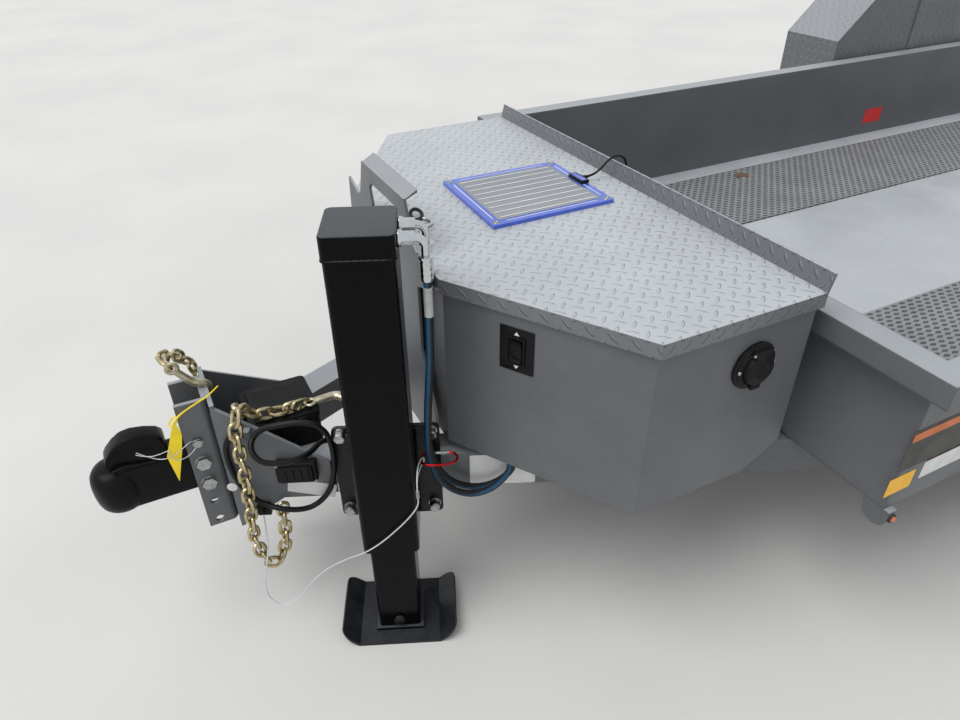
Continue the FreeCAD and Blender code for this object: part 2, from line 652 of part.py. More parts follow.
def rounded_path(points):
    """Straight runs joined by arcs as large as the runs allow."""
    edges = []
    radii = []
    last = points[0]
    for before, corner, after in zip(points, points[1:], points[2:]):
        start, middle, end, radius = corner_arc(before, corner, after)
        radii.append(round(radius, 1))
        edges.append(Part.LineSegment(last, start).toShape())
        edges.append(Part.Arc(start, middle, end).toShape())
        last = end
    edges.append(Part.LineSegment(last, points[-1]).toShape())
    return Part.Wire(edges), radii


def flat_loop(points, radius, direction):
    """A closed bar along a flat route, with its corners and its edges rounded."""
    arcs = [corner_arc(points[index - 1], points[index], points[(index + 1) % len(points)])
            for index in range(len(points))]
    edges = []
    for arc, following in zip(arcs, arcs[1:] + arcs[:1]):
        edges.append(Part.Arc(*arc[:3]).toShape())
        edges.append(Part.LineSegment(arc[2], following[0]).toShape())
    path = Part.Wire(edges)
    band = Part.Face(path.makeOffset2D(radius)).cut(Part.Face(path.makeOffset2D(-radius)))
    band.translate(direction * -radius)
    bar = band.Faces[0].extrude(direction * (2 * radius))
    return bar.makeFillet(radius * 0.6, [edge for edge in bar.Edges if edge.Length > 0.1
                                         and abs(edge.tangentAt(edge.FirstParameter)
                                                 .dot(direction)) < 0.5])


def cord(name, points, radius):
    """A round cord along a route of chosen points."""
    path, radii = rounded_path(points)
    print(name, "radii", radii, "length", round(path.Length))
    circle = Part.Wire(Part.makeCircle(radius, points[0], points[1] - points[0]))
    return path.makePipeShell([circle], True, False)


def hoses():
    """Two hydraulic hoses from the ferrules down, under the box and into its floor."""
    top = size("ferrule_bottom")
    gauge = size("fitting_gauge")
    reach = size("elbow_reach")
    # s behind the jack's axis, o outward from it, z
    outer = [(reach, gauge, top), (reach, gauge, 880), (110, 24, 780), (102, 17, 690),
             (97, 11, 615), (96, 4, 550), (103, -4, 492), (121, -11, 440), (152, -18, 402),
             (195, -23, 385), (238, -26, 400), (271, -28, 440),
             (278, -28, 466), (278, -28, size("box_bottom"))]
    inner = [(reach, -gauge, top), (reach, -gauge, 880), (110, -29, 780), (102, -30, 690),
             (96, -31, 615), (95, -31.5, 550), (100, -36, 495), (115, -44, 445),
             (142, -48, 405), (182, -52, 381), (226, -54, 380), (264, -55, 402),
             (290, -56, 437), (290, -56, size("box_bottom"))]
    tubes = []
    for name, route in (("outer hose", outer), ("inner hose", inner)):
        points = [jack_place(s, o, z) for s, o, z in route]
        tubes.append(cord(name, points, size("hose_radius")))
    node(formed("Hoses", Part.makeCompound(tubes)), "hydraulic_hoses")


def lid_outline(inset):
    """The plan of the lid, drawn in by an inset on every side but the rear."""
    turn = math.atan2(size("lid_front") - size("lid_side_front"),
                      size("lid_half_width") - size("lid_front_half"))
    half = size("lid_half_width") - inset
    front = size("lid_front") - inset
    # the chamfer moves inwards by the inset, square to itself
    normal = Vector(math.cos(turn), math.sin(turn), 0)
    point = Vector(size("lid_side_front"), size("lid_half_width"), 0) - normal * inset
    direction = Vector(math.sin(turn), -math.cos(turn), 0)
    side_x = point.x + direction.x * (half - point.y) / direction.y
    front_y = point.y + direction.y * (front - point.x) / direction.x
    left = [(0, half), (side_x, half), (front, front_y)]
    right = [(x, -y) for x, y in reversed(left)]
    return [(from_lid(x), y) for x, y in left + right]


def box_body(extra, bottom, top):
    """The tool box as a block, drawn in by an extra inset, with its rear edge cut off."""
    inset = size("box_inset") + extra
    overall = size("overall")
    plan = plan_prism(lid_outline(inset), bottom, top)
    plan = plan.common(Part.makeBox(overall, 2 * overall, overall,
                                    spot(inset, -overall, 0)))
    run = size("box_tail_run")
    rise = size("box_tail_rise")
    tail = size("box_inset") + run
    # x from the lid's rear edge, z
    corner = [(-run, 0), (tail, 0), (tail, bottom),
              (inset, bottom + rise * (run - extra) / run), (-run, bottom + rise)]
    return plan.cut(side_prism([(from_lid(x), z) for x, z in corner], -overall, overall))


def tool_box():
    """A sheet box on the tongue, open at the top, with its lower rear edge cut off."""
    sheet = size("sheet")
    top = size("box_top")
    bottom = size("box_bottom")
    shell = box_body(0, bottom, top).cut(box_body(sheet, bottom + sheet, top + sheet))
    half = size("lid_half_width") - size("hinge_inset")
    hinge = spot(size("hinge_forward"), 0, top + size("hinge_radius"))
    knuckle = across_rod(hinge, size("hinge_radius"), -half, half)
    node(formed("ToolBox", Part.makeCompound([shell, knuckle])), "tool_box")


def hydraulic_unit():
    """Pump tank, motor and battery on the floor of the tool box."""
    floor_z = size("box_bottom") + size("sheet")
    tank = side_block(330, 510, -380, 40, floor_z, floor_z + 160)
    motor = Part.makeCylinder(48, 150, spot(420, 40, floor_z + 85), Vector(0, 1, 0))
    block = side_block(380, 460, 40, 100, floor_z, floor_z + 120)
    battery = side_block(150, 325, 120, 380, floor_z, floor_z + 200)
    node(formed("HydraulicUnit", Part.makeCompound([one_solid(tank, motor, block), battery])),
         "hydraulic_unit")


def box_lid():
    """The tread-plate lid, turned down at the sides and up at the rear."""
    sheet = size("sheet")
    top = size("lid_top")
    lip = size("lid_lip")
    half = size("lid_half_width")
    outer = plan_prism(lid_outline(0), top - lip, top)
    inner = plan_prism(lid_outline(sheet), top - lip - sheet, top - sheet)
    open_rear = side_block(-sheet, sheet, sheet - half, half - sheet, top - lip, top - sheet)
    lean = size("lid_flange_lean")
    rise = size("lid_flange")
    # x from the lid's rear edge, z
    flange = [(0, top - sheet), (sheet, top), (sheet - lean, top + rise), (-lean, top + rise)]
    flange = side_prism([(from_lid(x), z) for x, z in flange], -half, half)
    node(formed("BoxLid", one_solid(outer.cut([inner, open_rear]), flange)), "box_lid")


def solar_panel():
    """A thin framed panel lying on the lid, and the lead that goes over the rear flange."""
    low = size("lid_top") + size("panel_gap")
    face = low + size("panel_thickness")
    # the panel's corners: x from the lid's rear edge, y
    corners = [(415, -198), (92, -193), (102, 101), (429, 104)]
    panel = plan_prism([(from_lid(x), y) for x, y in corners], low, face)
    block = side_block(96, 118, -75, -15, face, face + size("panel_block"))
    node(formed("SolarPanel", one_solid(panel, block)), "solar_panel")
    # x from the lid's rear edge, y, height above the panel's face
    route = [(96, -45, 4.5), (78, -45, 4.5), (57, -44, 9), (38, -42, 24), (21, -40, 41),
             (0, -38, 49), (-20, -36, 43), (-31, -35, 26), (-33, -34, 8)]
    points = [spot(x, y, face + z) for x, y, z in route]
    node(formed("SolarLead", cord("solar lead", points, size("lead_radius"))), "solar_lead")


def hook_plate():
    """A plate before the tool box, arched at the top, with an ear on each side."""
    top = size("hook_plate_top")
    base = size("rail_top")
    half_top = size("hook_plate_half_top")
    thick = size("hook_plate_thickness")
    x = size("hook_plate_x")
    # y, z of the left half, from the foot up round the ear to the middle
    half = [(240, base), (240, 560), (175, 700), (175, 860), (246, 884), (240, 962),
            (178, 940), (158, 952), (half_top, top)]
    outline = half + [(-y, z) for y, z in reversed(half)]
    plate = prism([spot(x, y, z) for y, z in outline], Vector(thick, 0, 0))
    # y, z of the opening's left half
    gap = [(77, 880), (77, 950), (88, 985), (70, 1001)]
    gap = gap + [(-y, z) for y, z in reversed(gap)]
    opening = prism([spot(x - 1, y, z) for y, z in gap], Vector(thick + 2, 0, 0))
    reach = size("hook_plate_flange")
    # the hand grip: x forward of the plate's rear face, z from the plate's top
    grip = [(0, 0), (thick, -thick), (-reach, thick + 2), (-reach, thick + 8)]
    flange = side_prism([(from_lid(x + along), top + z) for along, z in grip],
                        -half_top, half_top)
    node(formed("HookPlate", one_solid(plate.cut(opening), flange)), "chain_hook_plate")


def switch_and_inlet():
    """The rocker switch on the box's left slope and the round inlet on its left side."""
    outline = lid_outline(size("box_inset"))
    side = Vector(outline[1][0], outline[1][1], 0)
    front = Vector(outline[2][0], outline[2][1], 0)
    along = (front - side).normalize()
    out = Vector(-along.y, along.x, 0)
    centre = side + along * ((front - side).Length * size("switch_place"))
    centre = centre + Vector(0, 0, size("switch_z"))

    def panel(width, height, start, depth):
        corners = [(-1, -1), (1, -1), (1, 1), (-1, 1)]
        return prism([centre + along * (a * width / 2) + Vector(0, 0, b * height / 2)
                      + out * start for a, b in corners], out * depth)

    thick = size("switch_plate_thickness")
    plate = panel(size("switch_width"), size("switch_height"), 0, thick)
    rocker = panel(size("rocker_width"), size("rocker_height"), thick, size("rocker_reach"))
    node(formed("SwitchPlate", one_solid(plate, rocker)), "switch_plate")
    y = size("lid_half_width") - size("box_inset")
    middle = spot(size("inlet_x"), 0, size("inlet_z"))
    flap = across_rod(middle, size("inlet_radius"), y, y + size("inlet_thickness"))
    boss = across_rod(middle, size("inlet_boss_radius"), y, y + size("inlet_boss_reach"))
    node(formed("PowerInlet", one_solid(flap, boss)), "power_inlet")


def battery_case():
    """The small case on the tongue rails, and the pull switch on the left gusset."""
    rear = size("case_rear")
    front = size("case_front")
    proud = size("case_lid_proud")
    low = size("rail_top")
    seam = low + size("case_height")
    body = upright_rounded(side_block(rear, front, -size("case_right"), size("case_left"),
                                      low, seam), size("case_round"))
    lid = upright_rounded(side_block(rear - proud, front + proud, -size("case_right") - proud,
                                     size("case_left") + proud, seam, size("case_top")),
                          size("case_round"))
    thick = size("gusset_thickness")
    pull = rail_block(size("channel_back"), size("pull_switch_near"), size("pull_switch_far"),
                      thick, thick + size("pull_switch_depth"), size("pull_switch_bottom"),
                      size("pull_switch_top"))
    node(formed("BatteryCase", Part.makeCompound([one_solid(body, lid), pull])),
         "breakaway_case")


def chain_link(centre, along, across):
    """One six-sided link: its length lies along its run, its width along the other."""
    wire = size("chain_wire")
    length = size("chain_pitch") + 2 * wire + size("chain_slack")
    width = size("chain_width")
    depth = along.cross(across)

    def ring(reach, breadth, shoulder):
        points = [(-reach, 0), (-shoulder, -breadth), (shoulder, -breadth), (reach, 0),
                  (shoulder, breadth), (-shoulder, breadth)]
        return [centre + along * a + across * b - depth * (wire / 2) for a, b in points]

    shoulder = length / 2 - wire
    outer = prism(ring(length / 2, width / 2, shoulder), depth * wire)
    inner = prism(ring(length / 2 - wire, width / 2 - wire, shoulder - wire / 2), depth * wire)
    return outer.cut(inner)


def chain(points):
    """Links that follow a route, each turned a quarter to the one before."""
    path = Part.makePolygon(points)
    count = int(path.Length / size("chain_pitch"))
    places = path.discretize(Number=count + 1)
    links = []
    side = Vector(0, 1, 0)
    for index, (start, end) in enumerate(zip(places, places[1:])):
        along = Vector(end - start).normalize()
        side = (side - along * side.dot(along)).normalize()
        turn = 45 if index % 2 else -45
        links.append(chain_link((start + end) / 2, along, Rotation(along, turn).multVec(side)))
    print("links", len(links))
    return Part.makeCompound(links)


def slip_hook(centre, shank, normal, mouth):
    """A forged hook: a bend open on its mouth's side, and a shank with an eye."""
    thick = size("hook_thickness")
    outer = size("hook_outer")
    inner = size("hook_inner")
    base = centre - normal * (thick / 2)
    bend = Part.makeCylinder(outer, thick, base, normal)
    throat = Part.makeCylinder(inner, thick, base, normal)
    beside = mouth.cross(normal) * inner
    slot = prism([base - beside, base + beside, base + beside + mouth * outer,
                  base - beside + mouth * outer], normal * thick)
    aside = shank.cross(normal)
    start = base + shank * inner
    half = inner / 2 + 1
    end = start + shank * size("hook_shank")
    bar = prism([start - aside * half, start + aside * half, end + aside * half,
                 end - aside * half], normal * thick)
    eye = Part.makeCylinder(size("hook_eye"), thick, end, normal)
    hole = Part.makeCylinder(size("hook_eye_hole"), thick, end, normal)
    return bend.fuse([bar, eye]).cut([throat, slot, hole]).removeSplitter()


def safety_chains():
    """A chain on each side of the tongue head, and their two hooks."""
    lying = size("case_top") + size("hook_thickness") / 2 + size("chain_slack")
    half_link = (size("chain_width") + size("chain_wire")) / 2 * math.sqrt(0.5)
    chain_lying = size("case_top") + half_link + size("chain_slack")
    # x from the lid's rear edge, y, z
    left = [(916, 72, chain_lying), (985, 74, chain_lying), (1028, 78, 592), (1042, 98, 631),
            (1053, 126, 638), (1066, 143, 604), (1067, 145, 500), (1072, 145, 400),
            (1084, 145, 300), (1074, 145, 215), (1047, 145, 174), (1019, 143, 216),
            (1007, 143.4, 300), (1003, 141.6, 372)]
    right = [(1166, -30, 716), (1140, -74, 700), (1108, -106, 640), (1084, -130, 540),
             (1076, -140, 420), (1074, -143, 300), (1056, -143, 216), (1030, -143, 190),
             (1010, -139, 232), (1004, -136, 310), (1003, -132.6, 372)]
    for side, route in (("left", left), ("right", right)):
        points = [spot(x, y, z) for x, y, z in route]
        node(formed("Chain" + side, chain(points)), "safety_chain_" + side)
    forward = Vector(1, 0, 0)
    flat = slip_hook(spot(800, 66, lying), forward, Vector(0, 0, 1), Vector(0, -1, 0))
    lean = math.radians(55)
    seat = math.sqrt(size("hook_inner") ** 2 - size("channel_thickness") ** 2)
    upright = slip_hook(spot(size("channel_back"), 0, size("channel_top") - seat),
                        Vector(math.cos(lean), 0, math.sin(lean)), Vector(0, 1, 0),
                        Vector(0, 0, -1))
    node(formed("ChainHooks", Part.makeCompound([flat, upright])), "chain_hook")


def head_place(s, o, z):
    """A point s behind the channel along the left rail, o outward from the rail's face."""
    back, out = rail_directions()
    origin = spot(size("channel_back"), rail_outer_y(size("channel_back")), z)
    return origin + back * s + out * o


def trailer_cable():
    """The cable to the towing vehicle, looped over the left rail, and its plug."""
    radius = size("cable_radius")
    plug_z = size("rail_top") + size("plug_collar") + size("chain_slack")
    plug_x = 800
    plug_y = 152
    from_clip = size("gusset_thickness") + size("clip_depth") / 2
    clip_z = size("clip_bottom") + size("clip_height") / 2
    points = [head_place(size("clip_near"), from_clip, clip_z),
              head_place(size("clip_near") - 12, from_clip, clip_z)]
    # x from the lid's rear edge, y, z
    route = [(1071, 106, 567), (1081, 102, 556), (1088, 99.5, 540), (1091.5, 98, 518),
             (1092, 97, 490),
             (1089, 98.5, 458), (1083, 101, 428), (1073, 108, 402), (1059, 121, 382),
             (1039, 142, 373), (1014, 165, 370), (984, 172.5, 358), (953, 173, 349),
             (928, 175, 356), (906, 182, 380), (892, 188, 412), (884, 193, 447),
             (880, 196, 483), (879, 197, 520), (882, 196, 552), (891, 191, 578),
             (909, 182, 594), (936, 169, 599), (963, 157, 596), (985, 148, 592),
             (1006, 144, 591), (1026, 148, 587), (1040, 159, 578), (1045, 173, 565),
             (1040, 187, 552), (1026, 198, 543), (1004, 205, 538), (974, 208, 534),
             (945, 203, 531), (921, 188, 528), (903, 167, 524), (885, 152, 516),
             (863, 148, 503), (841, 151, 491)]
    points += [spot(x, y, z) for x, y, z in route]
    points += [spot(plug_x + 20, plug_y, plug_z), spot(plug_x, plug_y, plug_z)]
    node(formed("TrailerCable", cord("trailer cable", points, radius)), "trailer_cable")
    rearward = Vector(-1, 0, 0)
    start = points[-1]
    collar = Part.makeCylinder(size("plug_collar"), size("plug_collar_length"),
                               start + rearward * size("plug_collar_length"), rearward)
    barrel = Part.makeCylinder(size("plug_radius"), size("plug_length"), start, rearward)
    node(formed("TrailerPlug", one_solid(barrel, collar)), "trailer_plug")


def breakaway_cable():
    """The pull cable from its switch round the jack to the snap hook on a hose."""
    radius = size("pull_cable_radius")
    thick = size("gusset_thickness")
    out = rail_directions()[1]
    middle = (size("pull_switch_near") + size("pull_switch_far")) / 2
    start = head_place(middle, thick + size("pull_switch_depth"),
                       (size("pull_switch_bottom") + size("pull_switch_top")) / 2)
    # x from the lid's rear edge, y, z: from the switch down and round the loop
    loop = [(1051, 146, 326), (1055, 160, 298), (1061, 175, 262), (1078, 192, 222),
            (1092, 206, 176), (1082, 220, 137), (1052, 236, 126), (1018, 250, 160),
            (985, 266, 214), (952, 284, 258), (908, 308, 292)]
    points = [start, start + out * 12] + [spot(x, y, z) for x, y, z in loop]
    # s behind the jack's axis, o outward from it, z: past the jack and up to the hook
    past = [(-65, 68.5, 307), (-34, 70.5, 329), (2, 71, 364), (37, 71, 404),
            (58, 70.8, 433), (69.5, 69.5, 455)]
    points += [jack_place(s, o, z) for s, o, z in past]
    hang = jack_place(69.5, 69.5, 475)
    points.append(hang)
    crimp = Part.makeCylinder(size("crimp_radius"), size("crimp_length"), hang)
    wire = cord("breakaway cable", points, radius)
    # the eye round the snap hook: s, o, z
    eye = [(69.5, 71.4, 480), (69.5, 71, 504), (70, 62, 526), (72, 46, 539), (76, 29, 542),
           (81, 16, 540), (84.7, 11, 536), (84.7, 10, 525), (80.5, 12, 520), (75, 23, 515),
           (71, 40, 512), (69.5, 56, 508), (69.5, 67, 497), (69.5, 67.6, 480)]
    ring = cord("eye", [jack_place(s, o, z) for s, o, z in eye], radius)
    node(formed("BreakawayCable", wire), "breakaway_cable")
    # the snap hook's own loop: s, o
    outline = [(80, -10), (157, -10), (157, 28), (80, 28)]
    points = [jack_place(s, o, size("snap_z")) for s, o in outline]
    snap = flat_loop(points, size("snap_wire"), Vector(0, 0, 1))
    node(formed("SnapHook", Part.makeCompound([snap, one_solid(crimp, ring)])), "snap_hook")


def wheel_arms():
    """Housings under the side rails with a trailing arm and a stub axle for each wheel."""
    arms = []
    y0 = size("side_rail_inner")
    y1 = size("side_rail_outer")
    arm_y = y1 + size("arm_gap")
    thick = size("arm_thickness")
    for back in (size("axle_front_back"), size("axle_rear_back")):
        wheel = spot(-back, 0, size("tyre_radius"))
        pivot = wheel + Vector(size("arm_length_x"), 0, -size("arm_drop"))
        half = size("hanger_length") / 2
        hanger = Part.makeBox(2 * half, y1 - y0, size("rail_bottom") - size("hanger_bottom"),
                              Vector(pivot.x - half, y0, size("hanger_bottom")))
        housing = across_rod(pivot, size("housing_radius"), y0, y1)
        keep = Part.makeBox(4 * half, y1, size("rail_bottom"), Vector(pivot.x - 2 * half, y0, 0))
        neck = across_rod(pivot, size("housing_radius"), y1, y1 + size("housing_reach"))
        square = Vector(wheel - pivot).normalize().cross(Vector(0, 1, 0))
        square = square * (size("arm_width") / 2)
        sideways = Vector(0, arm_y, 0)
        arm = prism([pivot + square + sideways, wheel + square + sideways,
                     wheel - square + sideways, pivot - square + sideways],
                    Vector(0, thick, 0))
        ends = [across_rod(point, size("arm_width") / 2, arm_y, arm_y + thick)
                for point in (wheel, pivot)]
        stub = across_rod(wheel, size("spindle_radius"), arm_y, arm_y + size("spindle_length"))
        solid = one_solid(hanger.fuse(housing).common(keep), neck, arm, *ends, stub)
        arms += [solid, mirrored(solid)]
    node(formed("WheelArms", Part.makeCompound(arms)), "wheel_arms")


def rim_shape():
    """Half section of the rim, disc, hub and drum: radius, distance outward of the middle."""
    outer = size("rim_radius")
    lip = outer + size("rim_lip")
    inner = outer - size("rim_wall")
    half = size("rim_half_width")
    shoulder = half - size("rim_lip_width")
    disc = size("disc_offset")
    face = disc + size("disc_thickness")
    web = disc - size("disc_thickness")
    drum_end = web - size("drum_depth")
    drum = size("drum_radius")
    bore = size("spindle_radius") + size("spindle_clearance")
    tip = size("side_rail_outer") + size("arm_gap") + size("spindle_length") - size("wheel_y")
    return [(lip, half), (lip, shoulder), (outer, shoulder), (outer, -shoulder),
            (lip, -shoulder), (lip, -half), (inner, -half), (inner, disc), (drum, disc),
            (drum, drum_end), (drum - size("drum_wall"), drum_end),
            (drum - size("drum_wall"), web), (size("hub_radius"), web),
            (size("hub_radius"), drum_end), (bore, drum_end), (bore, tip + 2), (0, tip + 2),
            (0, size("cap_reach")), (size("cap_radius"), size("cap_reach")),
            (size("cap_radius"), face), (inner, face), (inner, half)]


def wheels():
    """Four wheels, each a tyre on a rim, turning on the stub axles."""
    outer = size("tyre_radius")
    bead = size("rim_radius") + size("bead_clearance")
    half = size("tyre_width") / 2
    middle = size("wheel_y")
    lip = size("rim_half_width") - size("rim_lip_width") - size("bead_clearance")
    tyre_outline = [(bead, middle - lip), (bead + size("rim_lip"), middle - lip),
                    (bead + size("rim_lip"), middle - half), (outer, middle - half),
                    (outer, middle + half), (bead + size("rim_lip"), middle + half),
                    (bead + size("rim_lip"), middle + lip), (bead, middle + lip)]
    rim_outline = [(radius, middle + offset) for radius, offset in rim_shape()]
    for name, back in (("front", size("axle_front_back")), ("rear", size("axle_rear_back"))):
        centre = spot(-back, 0, outer)
        tyre = turned(tyre_outline, centre)
        holes = []
        for index in range(int(size("hand_holes"))):
            turn = math.radians(360 * index / size("hand_holes"))
            ring = size("hand_hole_ring")
            hole_at = centre + Vector(ring * math.cos(turn), 0, ring * math.sin(turn))
            holes.append(across_rod(hole_at, size("hand_hole_radius"), middle, middle + half))
        rim = turned(rim_outline, centre).cut(holes)
        for side, sign in LEFT_AND_RIGHT:
            node(formed(f"Tyre{name}{side}", tyre if sign > 0 else mirrored(tyre)),
                 f"tyre_{name}_{side}")
            node(formed(f"Rim{name}{side}", rim if sign > 0 else mirrored(rim)),
                 f"rim_{name}_{side}")


def fender_outline(inset):
    """The side view of a fender, drawn in by an inset."""
    front = size("fender_front") + inset
    rear = size("fender_front") + size("fender_length") - inset
    top = size("fender_top") - inset
    run = size("fender_slope_run")
    corner = size("fender_corner_z") - inset * 0.4
    low = size("fender_skirt_z")
    return [(from_lid(-front), low), (from_lid(-front), corner),
            (from_lid(-front - run), top), (from_lid(-rear + run), top),
            (from_lid(-rear), corner), (from_lid(-rear), low)]


def fenders():
    """Box fenders over the wheels, open below and on the outer side."""
    sheet = size("sheet")
    inner = size("fender_inner")
    outer = size("fender_outer")
    low = size("fender_skirt_z")
    depth = size("skirt_depth")
    front = -size("fender_front")
    rear = front - size("fender_length")
    shell = side_prism(fender_outline(0), inner, outer)
    hollow = side_prism(fender_outline(sheet), inner + sheet, outer - sheet)
    floor = side_block(rear, front, inner + sheet, outer + sheet, low - sheet, low + sheet)
    window = side_prism(fender_outline(depth), outer - 2 * sheet, outer + sheet)
    front_skirt = side_block(front - depth, front, outer - sheet, outer, low, low + 2 * sheet)
    rear_skirt = side_block(rear, rear + depth, outer - sheet, outer, low, low + 2 * sheet)
    # the hollow and the window stay open below; the four panels reach their full height
    front_panel = side_block(front - sheet, front, inner, outer, low, low + 2 * sheet)
    rear_panel = side_block(rear, rear + sheet, inner, outer, low, low + 2 * sheet)
    panel = side_block(rear, front, inner, inner + sheet, size("rail_top"), low + 2 * sheet)
    rib_front = -size("axle_front_back")
    rib = side_block(rib_front - size("rib_width"), rib_front, inner - size("rib_thickness"),
                     inner, size("bed_top"), size("fender_top"))
    left = shell.cut([hollow, floor, window])
    left = one_solid(left, front_skirt, rear_skirt, front_panel, rear_panel, panel, rib)
    node(formed("FenderLeft", left), "fender_left")
    node(formed("FenderRight", mirrored(left)), "fender_right")


def tail_lamps():
    """A lamp block at the rear of each fender."""
    rear = -size("fender_front") - size("fender_length")
    y0 = size("fender_inner") + size("lamp_inset")
    z0 = size("lamp_z")
    lamp = side_block(rear - size("lamp_depth"), rear, y0, y0 + size("lamp_width"), z0,
                      z0 + size("lamp_height"))
    back_x = from_lid(rear - size("lamp_depth"))
    edges = [edge for edge in lamp.Edges if edge.BoundBox.XMax < back_x + 0.1]
    lamp = lamp.makeFillet(size("lamp_round"), edges)
    node(formed("TailLamps", Part.makeCompound([lamp, mirrored(lamp)])), "tail_lamps")


def pivot_pins():
    """The two pins on which the bed tilts."""
    inner = "(wall_y - bracket_thickness - pin_tail)"
    pins = []
    for name, y0, y1 in (("Left", inner, "side_rail_inner"),
                         ("Right", "-side_rail_inner", "-" + inner)):
        pins.append(rod("PivotPin" + name, "pivot_radius", "lid_rear - pivot_back",
                        "pivot_height", y0, y1))
    node(group("PivotPins", *pins), "pivot_pins")


def rest_pads():
    """Rubber pads on the tongue rails, under the walls of the bed."""
    middle = "(wall_y + wall_outer) / 2"
    pads = []
    for name, y in (("Left", middle), ("Right", "-" + middle)):
        pads.append(box("RestPad" + name, "lid_rear - pad_back - pad_length / 2",
                        "lid_rear - pad_back + pad_length / 2", y + " - pad_width / 2",
                        y + " + pad_width / 2", "rail_top", "bed_bottom - pad_gap"))
    node(group("RestPads", *pads), "bed_rest_pads")


def bed_walls():
    """The bed's front and side walls with a flange turned out and down along their top."""
    tail = "lid_rear - bed_tail"
    front = "lid_rear - bed_gap"
    band = box("WallBand", tail, front, "-bed_half_width", "bed_half_width",
               "bed_top - lip_height", "bed_top")
    under = box("WallUnder", f"{tail} - 1", f"{front} - sheet", "sheet - bed_half_width",
                "bed_half_width - sheet", "bed_top - lip_height - 1", "bed_top - sheet")
    frame = cut("WallFlange", band, under)
    core = box("WallCore", tail, f"{front} - flange_width + wall_sheet", "-wall_outer",
               "wall_outer", "bed_bottom", "bed_top")
    solid = fuse("WallSolid", frame, core)
    room = box("WallRoom", f"{tail} - 1", f"{front} - flange_width", "-wall_y", "wall_y",
               "bed_bottom - 1", "bed_top + 1")
    node(cut("BedWalls", solid, room), "bed_walls")


def bed_floor():
    """The smooth deck sheet between the walls."""
    floor = box("BedFloor", "lid_rear - bed_tail", "lid_rear - bed_gap - flange_width",
                "-wall_y", "wall_y", "deck_bottom", "deck_top")
    node(floor, "bed_floor")


def traction_strips():
    """A raised grip strip under each wheel track of the load."""
    outer = "(wall_y - strip_margin)"
    inner = "(wall_y - strip_margin - strip_width)"
    strips = []
    for name, y0, y1 in (("Left", inner, outer), ("Right", "-" + outer, "-" + inner)):
        strips.append(box("Strip" + name, "lid_rear - bed_tail + strip_tail",
                          "lid_rear - strip_front", y0, y1, "deck_top",
                          "deck_top + strip_raise"))
    node(group("TractionStrips", *strips), "traction_strips")


def bed_tubes():
    """The cross tubes under the deck: distance behind the lid's rear edge, depth."""
    shallow = size("deck_bottom") - size("bed_bottom")
    deep = size("bed_cross_depth")
    pivot = size("pivot_back")
    tail = size("bed_tail")
    return [(size("nose_tube_back"), shallow), (size("second_tube_back"), shallow),
            (size("third_tube_back"), deep), (size("rod_eye_back"), deep),
            (pivot - 300, deep), (pivot + 300, deep), (pivot + (tail - pivot) * 0.43, deep),
            (pivot + (tail - pivot) * 0.72, deep),
            (tail - size("tail_tube_inset"), size("tail_tube_depth"))]


def pivot_bracket(x, y0, y1):
    """A plate under the deck that tapers to a round boss at the pivot."""
    top = size("deck_bottom")
    shoulder = top - size("bracket_depth")
    half = size("bracket_half_length")
    boss = size("boss_radius")
    centre = Vector(x, 0, size("pivot_height"))
    outline = [(x - half, top), (x - half, shoulder), (x - boss, size("pivot_height")),
               (x + boss, size("pivot_height")), (x + half, shoulder), (x + half, top)]
    plate = side_prism(outline, y0, y1).fuse(across_rod(centre, boss, y0, y1))
    bore = across_rod(centre, size("pivot_radius") + size("pivot_clearance"), y0 - 1, y1 + 1)
    return plate.cut(bore).removeSplitter()


def bed_crossmembers():
    """Tubes under the deck, the pivot brackets and the tube that carries the rod's pin."""
    half = size("wall_y")
    top = size("deck_bottom")
    width = size("bed_cross_width")
    parts = []
    eye = spot(-size("rod_eye_back"), 0, size("rod_eye_z"))
    for distance, depth in bed_tubes():
        tube = side_block(-distance - width / 2, -distance + width / 2, -half, half,
                          top - depth, top)
        if distance == size("rod_eye_back"):
            tube = one_solid(tube, *rod_ears(eye, top - depth))
        parts.append(tube)
    x = from_lid(-size("pivot_back"))
    for y0, y1 in ((half - size("bracket_thickness"), half),
                   (-half, size("bracket_thickness") - half)):
        parts.append(pivot_bracket(x, y0, y1))
    node(formed("BedCross", Part.makeCompound(parts)), "bed_crossmembers")


def rod_ears(eye, tube_bottom):
    """Two ears below a tube with the pin between them."""
    radius = size("rod_ear_radius")
    width = size("bed_cross_width") / 2
    outline = [(eye.x - width, tube_bottom + 1), (eye.x - radius, eye.z),
               (eye.x + radius, eye.z), (eye.x + width, tube_bottom + 1)]
    shapes = []
    for y0, y1 in ear_places():
        shapes.append(side_prism(outline, y0, y1))
        shapes.append(across_rod(eye, radius, y0, y1))
    outer = ear_places()[1][1]
    shapes.append(across_rod(eye, size("rod_pin_radius"), -outer, outer))
    return shapes


def bed_stringers():
    """Short tubes in line from each cross tube to the next."""
    top = size("deck_bottom")
    height = size("stringer_size")
    half = size("bed_cross_width") / 2
    parts = []
    tubes = bed_tubes()
    for (near, near_depth), (far, far_depth) in zip(tubes, tubes[1:]):
        depth = min(height, max(near_depth, far_depth))
        for y in (-size("stringer_half_gauge"), size("stringer_half_gauge")):
            parts.append(side_block(-far + half, -near - half, y - height / 2, y + height / 2,
                                    top - depth, top))
    node(formed("BedStringers", Part.makeCompound(parts)), "bed_stringers")


def tail_plate():
    """The sloping plate at the rear of the deck."""
    half = size("wall_y")
    tail = from_lid(-size("bed_tail"))
    top = size("deck_top")
    tip = top - size("tail_drop")
    reach = size("tail_reach")
    outline = [(tail, top), (tail, top - size("tail_thickness")), (tail - reach * 0.9, tip),
               (tail - reach, tip + 2)]
    node(formed("TailPlate", side_prism(outline, -half, half)), "tail_plate")


